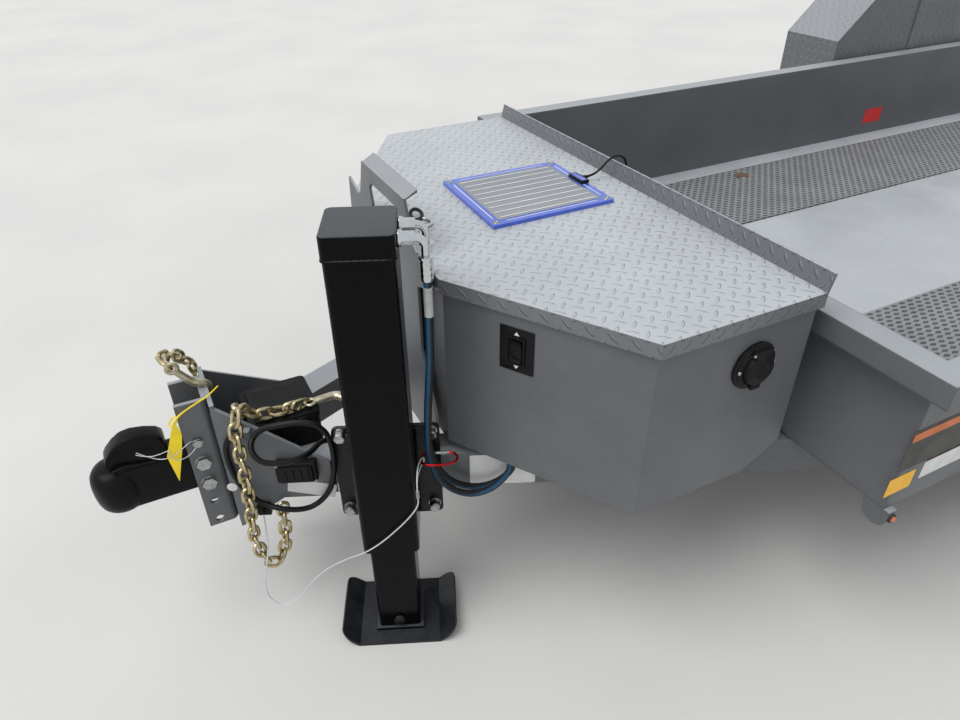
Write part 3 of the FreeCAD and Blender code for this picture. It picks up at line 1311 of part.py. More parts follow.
def front_ears():
    """A rounded ear with a marker lamp below each front corner of the bed."""
    face = -size("bed_gap") - size("flange_width") + size("wall_sheet")
    rear = face - size("ear_thickness")
    half = size("ear_half_width")
    low = size("bed_bottom")
    middle_z = low - size("ear_drop")
    ears = []
    lamps = []
    for side in (-1, 1):
        y = side * (size("wall_y") - size("ear_inset"))
        block = side_block(rear, face, y - half, y + half, middle_z, low)
        disc = Part.makeCylinder(half, size("ear_thickness"), spot(rear, y, middle_z),
                                 Vector(1, 0, 0))
        below = side_block(rear, face, y - half, y + half, middle_z - half, middle_z)
        ears.append(one_solid(block, disc.common(below)))
        lamp_at = spot((face + rear) / 2, y + side * half, middle_z + 2)
        lamps.append(Part.makeCylinder(size("marker_radius"), size("marker_length"), lamp_at,
                                       Vector(0, side, 0)))
    node(formed("FrontEars", Part.makeCompound(ears)), "front_ears")
    node(formed("FrontMarkers", Part.makeCompound(lamps)), "front_markers")


def tilt_cylinder():
    """Barrel pinned on the front cross tube, and the rod pinned under the bed."""
    start = spot(-size("barrel_eye_back"), 0, size("barrel_eye_z"))
    end = spot(-size("rod_eye_back"), 0, size("rod_eye_z"))
    reach = (end - start).Length
    along = (end - start).normalize()
    half = size("eye_width") / 2
    begin = size("barrel_start")
    stop = begin + size("barrel_length")
    rod_radius = size("rod_radius")

    def bar(radius, near, far):
        return Part.makeCylinder(radius, far - near, start + along * near, along)

    neck = bar(rod_radius, size("eye_radius") / 2, begin)
    gland = bar(size("gland_radius"), stop - size("gland_length"), stop)
    barrel = one_solid(bar(size("barrel_radius"), begin, stop), neck, gland,
                       across_rod(start, size("eye_radius"), -half, half))
    pin = size("barrel_pin_radius") + size("barrel_pin_clearance")
    cavity = bar(rod_radius + size("rod_play"), stop - size("rod_overlap") - begin, stop + 1)
    barrel = barrel.cut([across_rod(start, pin, -half - 1, half + 1), cavity])
    node(formed("CylinderBarrel", barrel.removeSplitter()), "cylinder_barrel")
    shaft = one_solid(bar(rod_radius, stop - size("rod_overlap"), reach),
                      across_rod(end, size("eye_radius"), -half, half))
    pin = size("rod_pin_radius") + size("rod_pin_play")
    shaft = shaft.cut(across_rod(end, pin, -half - 1, half + 1))
    node(formed("CylinderRod", shaft.removeSplitter()), "cylinder_rod")


def export():
    """Checks every object and writes each node's solids to its own file."""
    DOC.recompute()
    for obj in DOC.Objects:
        if any(state in ("Invalid", "Error") for state in obj.State):
            raise RuntimeError(f"{obj.Label} failed: {obj.State}")
    os.makedirs("parts", exist_ok=True)
    for obj in NODES:
        shape = obj.Shape
        if shape.isNull() or not shape.isValid() or not shape.Solids:
            raise RuntimeError(f"{obj.Label} has no valid solid")
        shape.exportStep(f"parts/{obj.Label}.step")
    print(len(NODES), "nodes")


tongue_rails()
side_rails()
crossmembers()
box_supports()
tongue_head()
coupler_channel()
coupler()
coupler_bolts()
jack_tube()
jack_leg()
jack_mount()
jack_fittings()
hoses()
tool_box()
hydraulic_unit()
box_lid()
solar_panel()
hook_plate()
switch_and_inlet()
battery_case()
safety_chains()
trailer_cable()
breakaway_cable()
wheel_arms()
wheels()
fenders()
tail_lamps()
pivot_pins()
rest_pads()
bed_walls()
bed_floor()
traction_strips()
bed_crossmembers()
bed_stringers()
tail_plate()
front_ears()
tilt_cylinder()
export()
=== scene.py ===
"""Dresses the tandem tilt-bed utility trailer: camera, light, cords, trim and finishes.

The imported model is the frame, in metres, +X forward, +Y to the left side and +Z up.
Places in the tables below are millimetres, with X measured from the rear edge of the lid.
"""

import bmesh
import bpy
import json
import logging
import math

from dataclasses import dataclass, field, replace
from enum import Enum
from functools import partial
from typing import Any, Callable, Iterable

from mathutils import Matrix, Vector

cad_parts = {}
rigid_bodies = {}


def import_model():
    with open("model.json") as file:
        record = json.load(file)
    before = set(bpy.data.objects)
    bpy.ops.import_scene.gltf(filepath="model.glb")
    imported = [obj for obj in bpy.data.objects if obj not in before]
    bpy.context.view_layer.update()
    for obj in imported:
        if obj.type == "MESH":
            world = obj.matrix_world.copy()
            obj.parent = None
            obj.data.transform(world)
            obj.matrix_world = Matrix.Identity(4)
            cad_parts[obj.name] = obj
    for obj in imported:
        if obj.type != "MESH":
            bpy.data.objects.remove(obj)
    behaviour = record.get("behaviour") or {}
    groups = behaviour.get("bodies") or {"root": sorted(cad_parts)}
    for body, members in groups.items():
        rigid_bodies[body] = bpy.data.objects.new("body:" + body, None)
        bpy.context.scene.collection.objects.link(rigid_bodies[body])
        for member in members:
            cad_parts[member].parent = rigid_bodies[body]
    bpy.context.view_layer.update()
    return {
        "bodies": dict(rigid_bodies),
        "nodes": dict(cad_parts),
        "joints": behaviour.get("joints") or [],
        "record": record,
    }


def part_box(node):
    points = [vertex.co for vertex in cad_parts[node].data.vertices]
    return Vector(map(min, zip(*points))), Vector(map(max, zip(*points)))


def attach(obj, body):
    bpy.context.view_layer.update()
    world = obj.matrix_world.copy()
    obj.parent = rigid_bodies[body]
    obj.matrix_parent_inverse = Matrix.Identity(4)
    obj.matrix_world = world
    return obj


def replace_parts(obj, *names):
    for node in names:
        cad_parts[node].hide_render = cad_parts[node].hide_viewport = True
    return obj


LOG = logging.getLogger("trailer")
PHOTO_WIDTH = 960
# The lid's rear edge in the frame, in metres. Below it, in millimetres: the left rail's outer
# face at that edge, the back of the coupler's channel, the jack's axis and its way off the rail.
LID_REAR = 1.496
RAIL_TURN = math.radians(23.5)
RAIL_FACE = 550.0
CHANNEL_BACK = 1100.0
JACK_X = 790.0
JACK_AWAY = 73.5 / math.cos(RAIL_TURN)
REARWARD = Vector((-math.cos(RAIL_TURN), math.sin(RAIL_TURN), 0))
OUTWARD = Vector((math.sin(RAIL_TURN), math.cos(RAIL_TURN), 0))
UP = Vector((0, 0, 1))
LEFT = Vector((0, 1, 0))
BACK = Vector((-1, 0, 0))
# Metres in the photo camera, millimetres everywhere else; a profile is radius and length.
Point = tuple[float, float, float]
Profile = list[tuple[float, float]]
Piece = bpy.types.Object
Socket = bpy.types.NodeSocket
Relief = tuple[Socket, float, Socket]


class Body(Enum):
    """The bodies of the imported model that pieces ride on."""

    CHASSIS = "chassis"
    BED = "bed"
    LID = "lid"
    LEG = "jack_leg"
    BARREL = "tilt_barrel"
    ROD = "tilt_rod"


class Pattern(Enum):
    """The relief that a finish carries besides its grain."""

    PLAIN = "plain"
    TREAD = "tread"
    GRIP = "grip"
    STRIPE = "stripe"
    LENS = "lens"


def main() -> None:
    """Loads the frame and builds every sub-assembly in order."""
    logging.basicConfig(level=logging.INFO, format="%(message)s")
    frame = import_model()
    bpy.ops.object.select_all(action="DESELECT")
    PhotoCamera().build()
    Studio().build()
    shop = PaintShop()
    assemblies = [TowCable(shop), PullCable(shop), HydraulicHoses(shop), LidTrim(shop),
                  SafetyChains(shop), CouplerTrim(shop), JackTrim(shop), SwitchPanel(shop),
                  InletFlap(shop), CaseTrim(shop), RailLabels(shop), BedTrim(shop),
                  FenderTrim(shop), WheelTrim(shop), CylinderTrim(shop), WeldBeads(shop)]
    for assembly in assemblies:
        assembly.build()
    shop.dress_nodes(frame)


@dataclass
class PhotoCamera:
    """The camera of the photograph, solved from the object's straight edges."""

    place: Point = (2.620, 1.418, 1.588)
    yaw_deg: float = 63.3968
    pitch_deg: float = 34.6516
    roll_deg: float = -0.5248
    focal_px: float = 720.66

    def build(self) -> None:
        """Adds the camera and makes it the scene's own."""
        yaw = math.radians(self.yaw_deg)
        pitch = math.radians(self.pitch_deg)
        roll = math.radians(self.roll_deg)
        level = Vector((-math.cos(yaw), -math.sin(yaw), 0))
        right = Vector((level.y, -level.x, 0))
        ahead = level * math.cos(pitch) - Vector((0, 0, math.sin(pitch)))
        above = right.cross(ahead)
        side = right * math.cos(roll) + above * math.sin(roll)
        upright = above * math.cos(roll) - right * math.sin(roll)
        data = bpy.data.cameras.new("photo_camera")
        data.sensor_width = 36
        data.lens = self.focal_px / PHOTO_WIDTH * data.sensor_width
        data.clip_start = 0.02
        camera = bpy.data.objects.new("photo_camera", data)
        turn = Matrix((side, upright, -ahead)).transposed().to_4x4()
        camera.matrix_world = Matrix.Translation(Vector(self.place)) @ turn
        bpy.context.scene.collection.objects.link(camera)
        bpy.context.scene.camera = camera


@dataclass
class Studio:
    """A plain pale floor and soft light."""

    floor_half: float = 14.0
    sun_energy: float = 1.6
    sun_from: Point = (0.5, 0.05, 0.86)
    sky_strength: float = 0.8

    def build(self) -> None:
        """Adds the floor, the sun and the world."""
        bpy.ops.mesh.primitive_plane_add(size=2 * self.floor_half, location=(0, 0, 0))
        floor = bpy.context.object
        floor.name = "studio_floor"
        floor.data.materials.append(Finish("studio_floor", "#d5d4d0", "#cfcecb", 0.9,
                                           patch_mm=900, dust_share=0).build())
        bpy.ops.object.select_all(action="DESELECT")
        lamp = bpy.data.lights.new("studio_sun", "SUN")
        lamp.energy = self.sun_energy
        lamp.angle = math.radians(40)
        sun = bpy.data.objects.new("studio_sun", lamp)
        sun.rotation_euler = Vector(self.sun_from).to_track_quat("Z", "Y").to_euler()
        bpy.context.scene.collection.objects.link(sun)
        world = bpy.data.worlds.new("studio_world")
        world.use_nodes = True
        back = world.node_tree.nodes["Background"]
        back.inputs["Color"].default_value = (0.95, 0.975, 1.0, 1.0)
        back.inputs["Strength"].default_value = self.sky_strength
        bpy.context.scene.world = world
        bpy.context.scene.view_settings.view_transform = "Standard"


def lid_point(x: float, y: float, z: float) -> Vector:
    """A place given in millimetres, with X from the lid's rear edge, in metres."""
    return Vector((LID_REAR + x / 1000, y / 1000, z / 1000))


def lid_route(places: Iterable[Point]) -> list[Vector]:
    """The places of a route, each as lid_point takes it."""
    return [lid_point(*place) for place in places]


def rail_outer_y(x: float) -> float:
    """Where the left tongue rail's outer face is, in millimetres."""
    return RAIL_FACE - math.tan(RAIL_TURN) * x


def rail_point(x: float, away: float, s: float, o: float, z: float) -> Vector:
    """A place s behind and o outward from a point that stands off the left rail."""
    origin = lid_point(x, rail_outer_y(x) + away, z)
    return origin + REARWARD * s / 1000 + OUTWARD * o / 1000


def head_point(s: float, o: float, z: float) -> Vector:
    """A place s behind the channel along the left rail and o outward from its face."""
    return rail_point(CHANNEL_BACK, 0.0, s, o, z)


def jack_point(s: float, o: float, z: float) -> Vector:
    """A place s behind the jack's axis and o outward from it."""
    return rail_point(JACK_X, JACK_AWAY, s, o, z)


def jack_route(places: Iterable[Point]) -> list[Vector]:
    """The places of a route, each as jack_point takes it."""
    return [jack_point(*place) for place in places]


def linear(hex_colour: str) -> tuple[float, float, float, float]:
    """Turns an sRGB hex colour to linear values.

    Args:
        hex_colour: Colour such as "#6a6b6d".

    Returns:
        Red, green, blue and an alpha of one.
    """
    values = [int(hex_colour[index:index + 2], 16) / 255 for index in (1, 3, 5)]
    linear_values = [value / 12.92 if value <= 0.04045 else ((value + 0.055) / 1.055) ** 2.4
                     for value in values]
    return (*linear_values, 1.0)


def feed(tree: bpy.types.NodeTree, node: bpy.types.Node, inputs: dict | list) -> None:
    """Sets a node's inputs.

    Args:
        tree: The material's node tree.
        node: The node.
        inputs: For an input's name or number, its value or the output that feeds it, or a
            list of these for the first inputs.
    """
    pairs = inputs.items() if isinstance(inputs, dict) else enumerate(inputs)
    for key, value in pairs:
        if isinstance(value, Socket):
            tree.links.new(value, node.inputs[key])
        else:
            node.inputs[key].default_value = value


def add_node(tree: bpy.types.NodeTree, kind: str, inputs: dict | list | None = None,
             **settings: Any) -> Any:
    """Adds a shader node.

    Args:
        tree: The material's node tree.
        kind: The node's type, after the words ShaderNode.
        inputs: As feed takes them.
        settings: The node's own properties.

    Returns:
        The node's outputs.
    """
    node = tree.nodes.new("ShaderNode" + kind)
    for key, value in settings.items():
        setattr(node, key, value)
    feed(tree, node, inputs or [])
    return node.outputs


@dataclass(frozen=True)
class Finish:
    """One surface: its colours, gloss, grain, a painted sky reflection on what faces up, and the
    dust that lies on it.
    """

    name: str
    colour: str
    shade: str
    roughness: float
    spread: float = 0.07
    metallic: float = 0.0
    patch_mm: float = 70.0
    grain_mm: float = 1.6
    grain_depth_mm: float = 0.03
    edge_mm: float = 0.8
    dust: str = "#8f8b82"
    dust_share: float = 0.16
    coat: float = 0.0
    gloss: float = 0.5
    # A painted pale sky reflection on the faces that look up, and its greatest share.
    painted_reflection: str = "#c4c8cc"
    painted_reflection_share: float = 0.0
    pattern: Pattern = Pattern.PLAIN
    accent: str = "#101012"
    pitch_mm: float = 27.0

    def build(self) -> bpy.types.Material:
        """Makes the material with its nodes.

        Returns:
            The material.
        """
        material = bpy.data.materials.new(self.name)
        material.use_nodes = True
        tree = material.node_tree
        add = partial(add_node, tree)
        coord = add("TexCoord")
        patches = add("TexNoise", {"Vector": coord["Object"], "Detail": 4.0,
                                   "Scale": 1000 / self.patch_mm})[0]
        share = add("MapRange", {"Value": patches, "From Min": 0.35, "From Max": 0.65})[0]
        colour = add("Mix", {0: share, 6: linear(self.colour), 7: linear(self.shade)},
                     data_type="RGBA")[2]
        grain = add("TexNoise", {"Vector": coord["Object"], "Detail": 2.0,
                                 "Scale": 1000 / self.grain_mm})[0]
        edge = add("Bevel", {"Radius": self.edge_mm / 1000}, samples=4)[0]
        bump = add("Bump", {"Height": grain, "Normal": edge, "Strength": 0.6,
                            "Distance": self.grain_depth_mm / 1000})[0]
        if self.pattern is not Pattern.PLAIN:
            colour, bump = self.relief(add, coord, colour, bump)
        colour = self.painted_reflection_and_dust(add, coord, colour, patches)
        rough = add("MapRange", {"Value": patches, "From Min": 0.3, "From Max": 0.7,
                                 "To Min": max(self.roughness - self.spread, 0.02),
                                 "To Max": min(self.roughness + self.spread, 1.0)})[0]
        feed(tree, tree.nodes["Principled BSDF"],
             {"Base Color": colour, "Roughness": rough, "Normal": bump,
              "Metallic": self.metallic, "Coat Weight": self.coat,
              "Specular IOR Level": self.gloss})
        return material

    def painted_reflection_and_dust(self, add: Callable, coord: Any, colour: Socket, patches: Socket) -> Socket:
        """Lays a painted pale sky reflection, as on wet paint, and dust over it, on the faces that
        look up.

        Args:
            add: Adds a node.
            coord: The outputs of the texture coordinates.
            colour: The colour so far.
            patches: The broad noise that thins the painted reflection here and there.

        Returns:
            The colour with both on it.
        """
        upward = add("SeparateXYZ", [coord["Normal"]])[2]
        # The painted reflection grows as a face turns to look straight up.
        level = add("MapRange", {"Value": upward, "From Min": 0.55, "From Max": 0.97,
                                 "To Max": self.painted_reflection_share},
                    interpolation_type="SMOOTHSTEP")[0]
        uneven = add("MapRange", {"Value": patches, "From Min": 0.3, "From Max": 0.6,
                                  "To Min": 0.8})[0]
        speckle = add("TexNoise", {"Vector": coord["Object"], "Scale": 38.0, "Detail": 7.0,
                                   "Roughness": 0.7})[0]
        thin = add("MapRange", {"Value": speckle, "From Min": 0.42, "From Max": 0.72,
                                "To Max": self.dust_share})[0]
        flat = add("MapRange", {"Value": upward, "From Min": 0.2, "From Max": 0.9,
                                "To Min": 0.35})[0]
        # First the painted sky reflection, then the dust that lies over it.
        for tint, most, first, second in ((self.painted_reflection, self.painted_reflection_share, level, uneven),
                                          (self.dust, self.dust_share, thin, flat)):
            if most > 0:
                share = add("Math", [first, second], operation="MULTIPLY")[0]
                colour = add("Mix", {0: share, 6: colour, 7: linear(tint)},
                             data_type="RGBA")[2]
        return colour

    def relief(self, add: Callable, coord: Any, colour: Socket,
               bump: Socket) -> tuple[Socket, Socket]:
        """Adds the finish's own pattern over its grain.

        Args:
            add: Adds a node.
            coord: The outputs of the texture coordinates.
            colour: The colour so far.
            bump: The bumped normal so far.

        Returns:
            The new colour and the new normal.
        """
        across, along = self.flat_axes(add, coord)
        makers: dict[Pattern, Callable] = {Pattern.TREAD: self.tread, Pattern.GRIP: self.grip,
                                           Pattern.STRIPE: self.stripe,
                                           Pattern.LENS: self.ribs}
        height, depth_mm, tint = makers[self.pattern](add, across, along)
        mixed = add("Mix", {0: tint, 6: colour, 7: linear(self.accent)}, data_type="RGBA")[2]
        raised = add("Bump", {"Height": height, "Normal": bump, "Strength": 1.0,
                              "Distance": depth_mm / 1000})[0]
        return mixed, raised

    def flat_axes(self, add: Callable, coord: Any) -> tuple[Socket, Socket]:
        """The two lengths along the sheet that a face belongs to.

        Args:
            add: Adds a node.
            coord: The outputs of the texture coordinates.

        Returns:
            The lengths across and along. A slope that looks along X and up keeps X and Y.
        """
        place = add("SeparateXYZ", [coord["Object"]])
        normal = add("SeparateXYZ", [coord["Normal"]])
        sideways = add("Math", [normal[0]], operation="ABSOLUTE")[0]
        faces_x = add("Math", [sideways, 0.7], operation="GREATER_THAN")[0]
        level = add("Math", [normal[2]], operation="ABSOLUTE")[0]
        upright = add("Math", [level, 0.35], operation="LESS_THAN")[0]
        return (add("Mix", {0: faces_x, 2: place[0], 3: place[1]})[0],
                add("Mix", {0: upright, 2: place[1], 3: place[2]})[0])

    def tread(self, add: Callable, across: Socket, along: Socket) -> Relief:
        """Raised bars that lie alternately along the two diagonals.

        Args:
            add: Adds a node.
            across: The length across.
            along: The length along.

        Returns:
            The height, its depth in millimetres, the accent's share.
        """
        scale = 1000 / self.pitch_mm / math.sqrt(2)
        parts, floors = [], []
        for way in ("ADD", "SUBTRACT"):
            diagonal = add("Math", [across, along], operation=way)[0]
            cells = add("Math", [diagonal, scale], operation="MULTIPLY")[0]
            part = add("Math", [cells], operation="FRACT")[0]
            parts.append(add("Math", [part, 0.5], operation="SUBTRACT")[0])
            floors.append(add("Math", [cells], operation="FLOOR")[0])
        steps = add("Math", floors, operation="ADD")[0]
        halves = add("Math", [steps, 0.5], operation="MULTIPLY")[0]
        odd = add("Math", [halves], operation="FRACT")[0]
        turned_cell = add("Math", [odd, 0.25], operation="GREATER_THAN")[0]
        long_way = add("Mix", {0: turned_cell, 2: parts[0], 3: parts[1]})[0]
        short_way = add("Mix", {0: turned_cell, 2: parts[1], 3: parts[0]})[0]
        ahead = add("Math", [long_way, 1.85], operation="MULTIPLY")[0]
        length = add("Math", [ahead, 2.0], operation="POWER")[0]
        aside = add("Math", [short_way], operation="ABSOLUTE")[0]
        width = add("Math", [aside, 7.0], operation="MULTIPLY")[0]
        reach = add("Math", [length, width], operation="ADD")[0]
        shape = add("MapRange", {"Value": reach, "From Min": 1.05, "From Max": 0.25},
                    interpolation_type="SMOOTHSTEP")[0]
        # The bars take the accent as a painted highlight.
        return shape, 2.4, add("Math", [shape, 0.2], operation="MULTIPLY")[0]

    def grip(self, add: Callable, across: Socket, along: Socket) -> Relief:
        """A lattice of pointed openings in staggered rows.

        Args:
            add: Adds a node.
            across: The length across.
            along: The length along.

        Returns:
            The height, its depth in millimetres, the accent's share.
        """
        row = add("Math", [along, 2000 / self.pitch_mm], operation="MULTIPLY")[0]
        whole = add("Math", [row], operation="FLOOR")[0]
        shift = add("Math", [whole, 0.5], operation="MULTIPLY")[0]
        cells = add("Math", [across, 1000 / self.pitch_mm], operation="MULTIPLY")[0]
        column = add("Math", [shift, cells], operation="ADD")[0]
        reaches = []
        for value, stretch in ((column, 2.5), (row, 2.6)):
            part = add("Math", [value], operation="FRACT")[0]
            offset = add("Math", [part, 0.5], operation="SUBTRACT")[0]
            size = add("Math", [offset], operation="ABSOLUTE")[0]
            reaches.append(add("Math", [size, stretch], operation="MULTIPLY")[0])
        reach = add("Math", reaches, operation="ADD")[0]
        web = add("MapRange", {"Value": reach, "From Min": 0.85, "From Max": 1.1},
                  interpolation_type="SMOOTHSTEP")[0]
        hole = add("Math", [1.0, web], operation="SUBTRACT")[0]
        # The openings take the accent as painted shade.
        return web, 3.0, add("Math", [hole, 0.8], operation="MULTIPLY")[0]

    def stripe(self, add: Callable, across: Socket, along: Socket) -> Relief:
        """A printed lay line down one side of a hose, over a fine weave.

        Args:
            add: Adds a node.
            across: The length across; not used.
            along: The length along.

        Returns:
            The height, its depth in millimetres, the accent's share.
        """
        toward = add("VectorMath", [add("TexCoord")["Normal"], (0.75, 0.62, 0.2)],
                     operation="DOT_PRODUCT")["Value"]
        line = add("MapRange", {"Value": toward, "From Min": 0.76, "From Max": 0.86})[0]
        turns = add("Math", [along, math.tau * 1000 / self.pitch_mm], operation="MULTIPLY")[0]
        weave = add("Math", [turns], operation="SINE")[0]
        return weave, 0.15, add("Math", [line, 0.85], operation="MULTIPLY")[0]

    def ribs(self, add: Callable, across: Socket, along: Socket) -> Relief:
        """Fine upright ribs behind a lens.

        Args:
            add: Adds a node.
            across: The length across.
            along: The length along; not used.

        Returns:
            The height, its depth in millimetres, the accent's share.
        """
        turns = add("Math", [across, math.tau * 1000 / self.pitch_mm], operation="MULTIPLY")[0]
        wave = add("Math", [turns], operation="SINE")[0]
        half = add("Math", [wave, 0.5], operation="MULTIPLY")[0]
        lifted = add("Math", [half, 0.5], operation="ADD")[0]
        # The ribs' crests take the accent as a painted glint.
        return lifted, 0.8, add("Math", [lifted, 0.25], operation="MULTIPLY")[0]


# Powder coat: fine orange peel, satin gloss, and on what lies flat a painted pale sky reflection,
# as on wet paint, with dust.
GREY_COAT = Finish(
    "grey_powder_coat", "#5f6165", "#595b5f", 0.42, patch_mm=220, grain_mm=2.2,
    grain_depth_mm=0.05, edge_mm=2.4, dust="#8d8c88", painted_reflection="#aeb2b6", painted_reflection_share=0.72)
# The same coat over the bed's folded rim: the light runs round a wide soft corner.
RIM_COAT = replace(GREY_COAT, name="grey_coat_on_folded_rim", edge_mm=8.0)
# The same coat on rolled tread plate: a painted pale sky reflection lies on the wet sheet, and its
# bars carry a painted light grey highlight.
# The bars' pitch is the real one.
TREAD_COAT = Finish(
    "grey_tread_plate", "#6d6f73", "#66686c", 0.36, patch_mm=260, dust="#8f8e8a", dust_share=0.1,
    painted_reflection="#bfc3c7", painted_reflection_share=0.88, edge_mm=4, pattern=Pattern.TREAD, accent="#93959a")
# Expanded-metal grip with painted shade in its openings, down to the plate below. Its openings are
# drawn at 34 mm, a little coarser than real, so that they show from the camera.
GRIP_COAT = Finish(
    "expanded_grip", "#8b8d90", "#7f8184", 0.5, patch_mm=120, dust="#8d8b86", dust_share=0.2,
    pattern=Pattern.GRIP, accent="#1d1e20", pitch_mm=34)
# The deck's coat under standing rain: broad pale reflections with duller drying edges.
DECK_COAT = Finish(
    "deck_paint", "#66686c", "#5e6064", 0.3, spread=0.12, patch_mm=340, grain_mm=4, dust="#96938c",
    dust_share=0.18, painted_reflection="#bcc0c4", painted_reflection_share=0.88)
# Gloss enamel on the jack: nearly black, with soft reflections and dust specks.
BLACK_ENAMEL = Finish(
    "black_enamel", "#050506", "#070708", 0.2, spread=0.05, patch_mm=150, grain_mm=3, gloss=0.1,
    dust="#77736b", dust_share=0.015, painted_reflection="#66696c", painted_reflection_share=0.5)
# The same enamel where it stands on the ground: scuffed satin, with a painted grey reflection, as
# on wet enamel, where it lies flat.
WORN_ENAMEL = Finish(
    "worn_black_enamel", "#07080a", "#0e0f12", 0.34, spread=0.14, patch_mm=45, dust="#6a6459",
    dust_share=0.07, grain_mm=1.2, grain_depth_mm=0.06, gloss=0.3, painted_reflection="#3c4046", painted_reflection_share=0.55)
# Sand-cast iron under paint: coarse skin that breaks the highlight.
CAST_COAT = Finish(
    "painted_casting", "#060607", "#0c0c0d", 0.36, grain_mm=1.1, grain_depth_mm=0.16, edge_mm=3.5,
    dust="#6e6b66", dust_share=0.03, gloss=0.13)
# Moulded nylon: even, slightly grained and dull.
MOULDED_BLACK = Finish(
    "moulded_nylon", "#0c0c0d", "#111112", 0.46, grain_mm=0.7, grain_depth_mm=0.06, dust="#77746e",
    dust_share=0.04, gloss=0.18)
# Tyre rubber: matt charcoal, browned by road dust in its grooves.
RUBBER = Finish(
    "tyre_rubber", "#191919", "#20201f", 0.78, grain_mm=2.0, grain_depth_mm=0.1, dust="#7a746a",
    dust_share=0.28)
# Extruded jacket: smooth black with a soft long highlight.
CABLE_JACKET = Finish(
    "cable_jacket", "#0a0a0b", "#0f0f10", 0.4, grain_mm=1.0, dust="#6f6c66", dust_share=0.04,
    gloss=0.25)
# Hose cover: wrapped rubber with a blue printed lay line down one side. The wrapping's weave
# is drawn at twice its real pitch to show at all.
HOSE_COVER = Finish(
    "hose_cover", "#0a0c0f", "#0f1114", 0.5, grain_mm=0.8, grain_depth_mm=0.05,
    pattern=Pattern.STRIPE, accent="#174f72", pitch_mm=2.0944, dust_share=0.05, gloss=0.35)
# Bright zinc plate: cool white metal with fine cloudy spangle.
BRIGHT_ZINC = Finish(
    "bright_zinc", "#b4b7b6", "#9a9d9d", 0.3, metallic=1.0, patch_mm=12, grain_mm=0.8,
    dust="#6f6b63", dust_share=0.2)
# Yellow chromate on the chain: pale straw, browner where the links rub.
GOLD_ZINC = Finish(
    "yellow_zinc", "#d8cba6", "#a89a74", 0.34, metallic=1.0, patch_mm=14, grain_mm=0.9,
    dust="#7d735f", dust_share=0.25)
# Forged hook under the same plating: duller and rougher than the links.
FORGED = Finish(
    "forged_hook", "#d9d4c0", "#b6ad92", 0.4, metallic=1.0, patch_mm=16, grain_mm=1.0,
    grain_depth_mm=0.08, dust="#7d7460", dust_share=0.25)
# Turned steel: plain grey with a broad highlight.
PIN_STEEL = Finish(
    "turned_steel", "#8c8d8e", "#7b7c7c", 0.36, metallic=1.0, patch_mm=20, dust_share=0.2)
# Hard chrome and polished plating: near mirror with faint waviness.
HARD_CHROME = Finish(
    "hard_chrome", "#cfd2d4", "#c2c6c8", 0.13, metallic=1.0, patch_mm=30, grain_mm=6,
    grain_depth_mm=0.01, dust_share=0.05)
# Silver wheel paint: fine metallic flake under brake dust.
RIM_PAINT = Finish(
    "silver_rim_paint", "#a2a5a7", "#96999b", 0.32, metallic=0.55, patch_mm=60, dust="#7c7468",
    dust_share=0.4)
# Red anodised aluminium: clear deep red with a metal glint.
RED_ANODISED = Finish(
    "red_anodised", "#b3141f", "#9a0f19", 0.26, metallic=0.85, patch_mm=10, dust_share=0.04)
# Steel strand under clear plastic: pale with a fine twist, drawn coarser than the strands.
COATED_WIRE = Finish(
    "coated_wire", "#d5d8d8", "#bfc3c3", 0.32, metallic=0.3, patch_mm=6, grain_mm=1.1,
    grain_depth_mm=0.12, dust_share=0.03)
# Laminated edge of the solar panel: bright blue under clear film.
BLUE_FRAME = Finish(
    "blue_laminate", "#3f60d0", "#3656c2", 0.25, patch_mm=40, coat=0.6, dust_share=0.05)
# Solar cells under film: grey, with a painted pale reflection where they face up, as under rain,
# and a faint crystal mottle.
CELL_GLASS = Finish(
    "cell_laminate", "#63676e", "#5a5e66", 0.2, patch_mm=46, coat=0.6, grain_mm=5, dust="#9a9a98",
    dust_share=0.12, painted_reflection="#8f939b", painted_reflection_share=0.45)
# White screen print: flat and slightly chalky.
WHITE_LINE = Finish("white_print", "#e6e7e6", "#d8d9d8", 0.4, dust_share=0.1)
# Plastic tag: strong even yellow, a little translucent at the folds.
YELLOW_TAG = Finish("yellow_tag", "#f8dc14", "#efcf0d", 0.42, patch_mm=25, dust_share=0.06)
# Red lens: deep red with upright prisms behind a glossy face, drawn twice as wide as real, each
# prism with a painted pale red glint.
RED_GLASS = Finish(
    "red_lens", "#9c0d10", "#7f0a0c", 0.12, coat=0.8, pattern=Pattern.LENS, accent="#d8393a",
    pitch_mm=5, dust_share=0.1)
# Amber lens: orange with fine prisms at their real pitch, each with a painted pale orange glint.
AMBER_GLASS = Finish(
    "amber_lens", "#e0630c", "#c9540a", 0.14, coat=0.8, pattern=Pattern.LENS, accent="#ffa04a",
    pitch_mm=3, dust_share=0.06)
# Printed vinyl: thin film, smooth and evenly coloured, greyed by road dust.
WHITE_VINYL = Finish("white_vinyl", "#dcdddb", "#cfd0ce", 0.36, patch_mm=40, dust_share=0.2)
# Foil label wrapped round a hose: pale satin grey with a slight crinkle.
SILVER_FILM = Finish("silver_film", "#a9acab", "#9b9e9e", 0.3, patch_mm=9, dust_share=0.15)
# Dark printed vinyl: warm near-black, flatter than the coat round it.
DARK_VINYL = Finish("dark_vinyl", "#25231f", "#1f1d1a", 0.4, patch_mm=40, dust_share=0.04)
# Orange printed vinyl: strong colour, a little faded.
ORANGE_VINYL = Finish("orange_vinyl", "#cf6a24", "#c05e1d", 0.4, patch_mm=40, dust_share=0.05)
# Reflective amber vinyl: bright and even.
YELLOW_VINYL = Finish("yellow_vinyl", "#f7b800", "#ecad00", 0.4, patch_mm=40, dust_share=0.03)
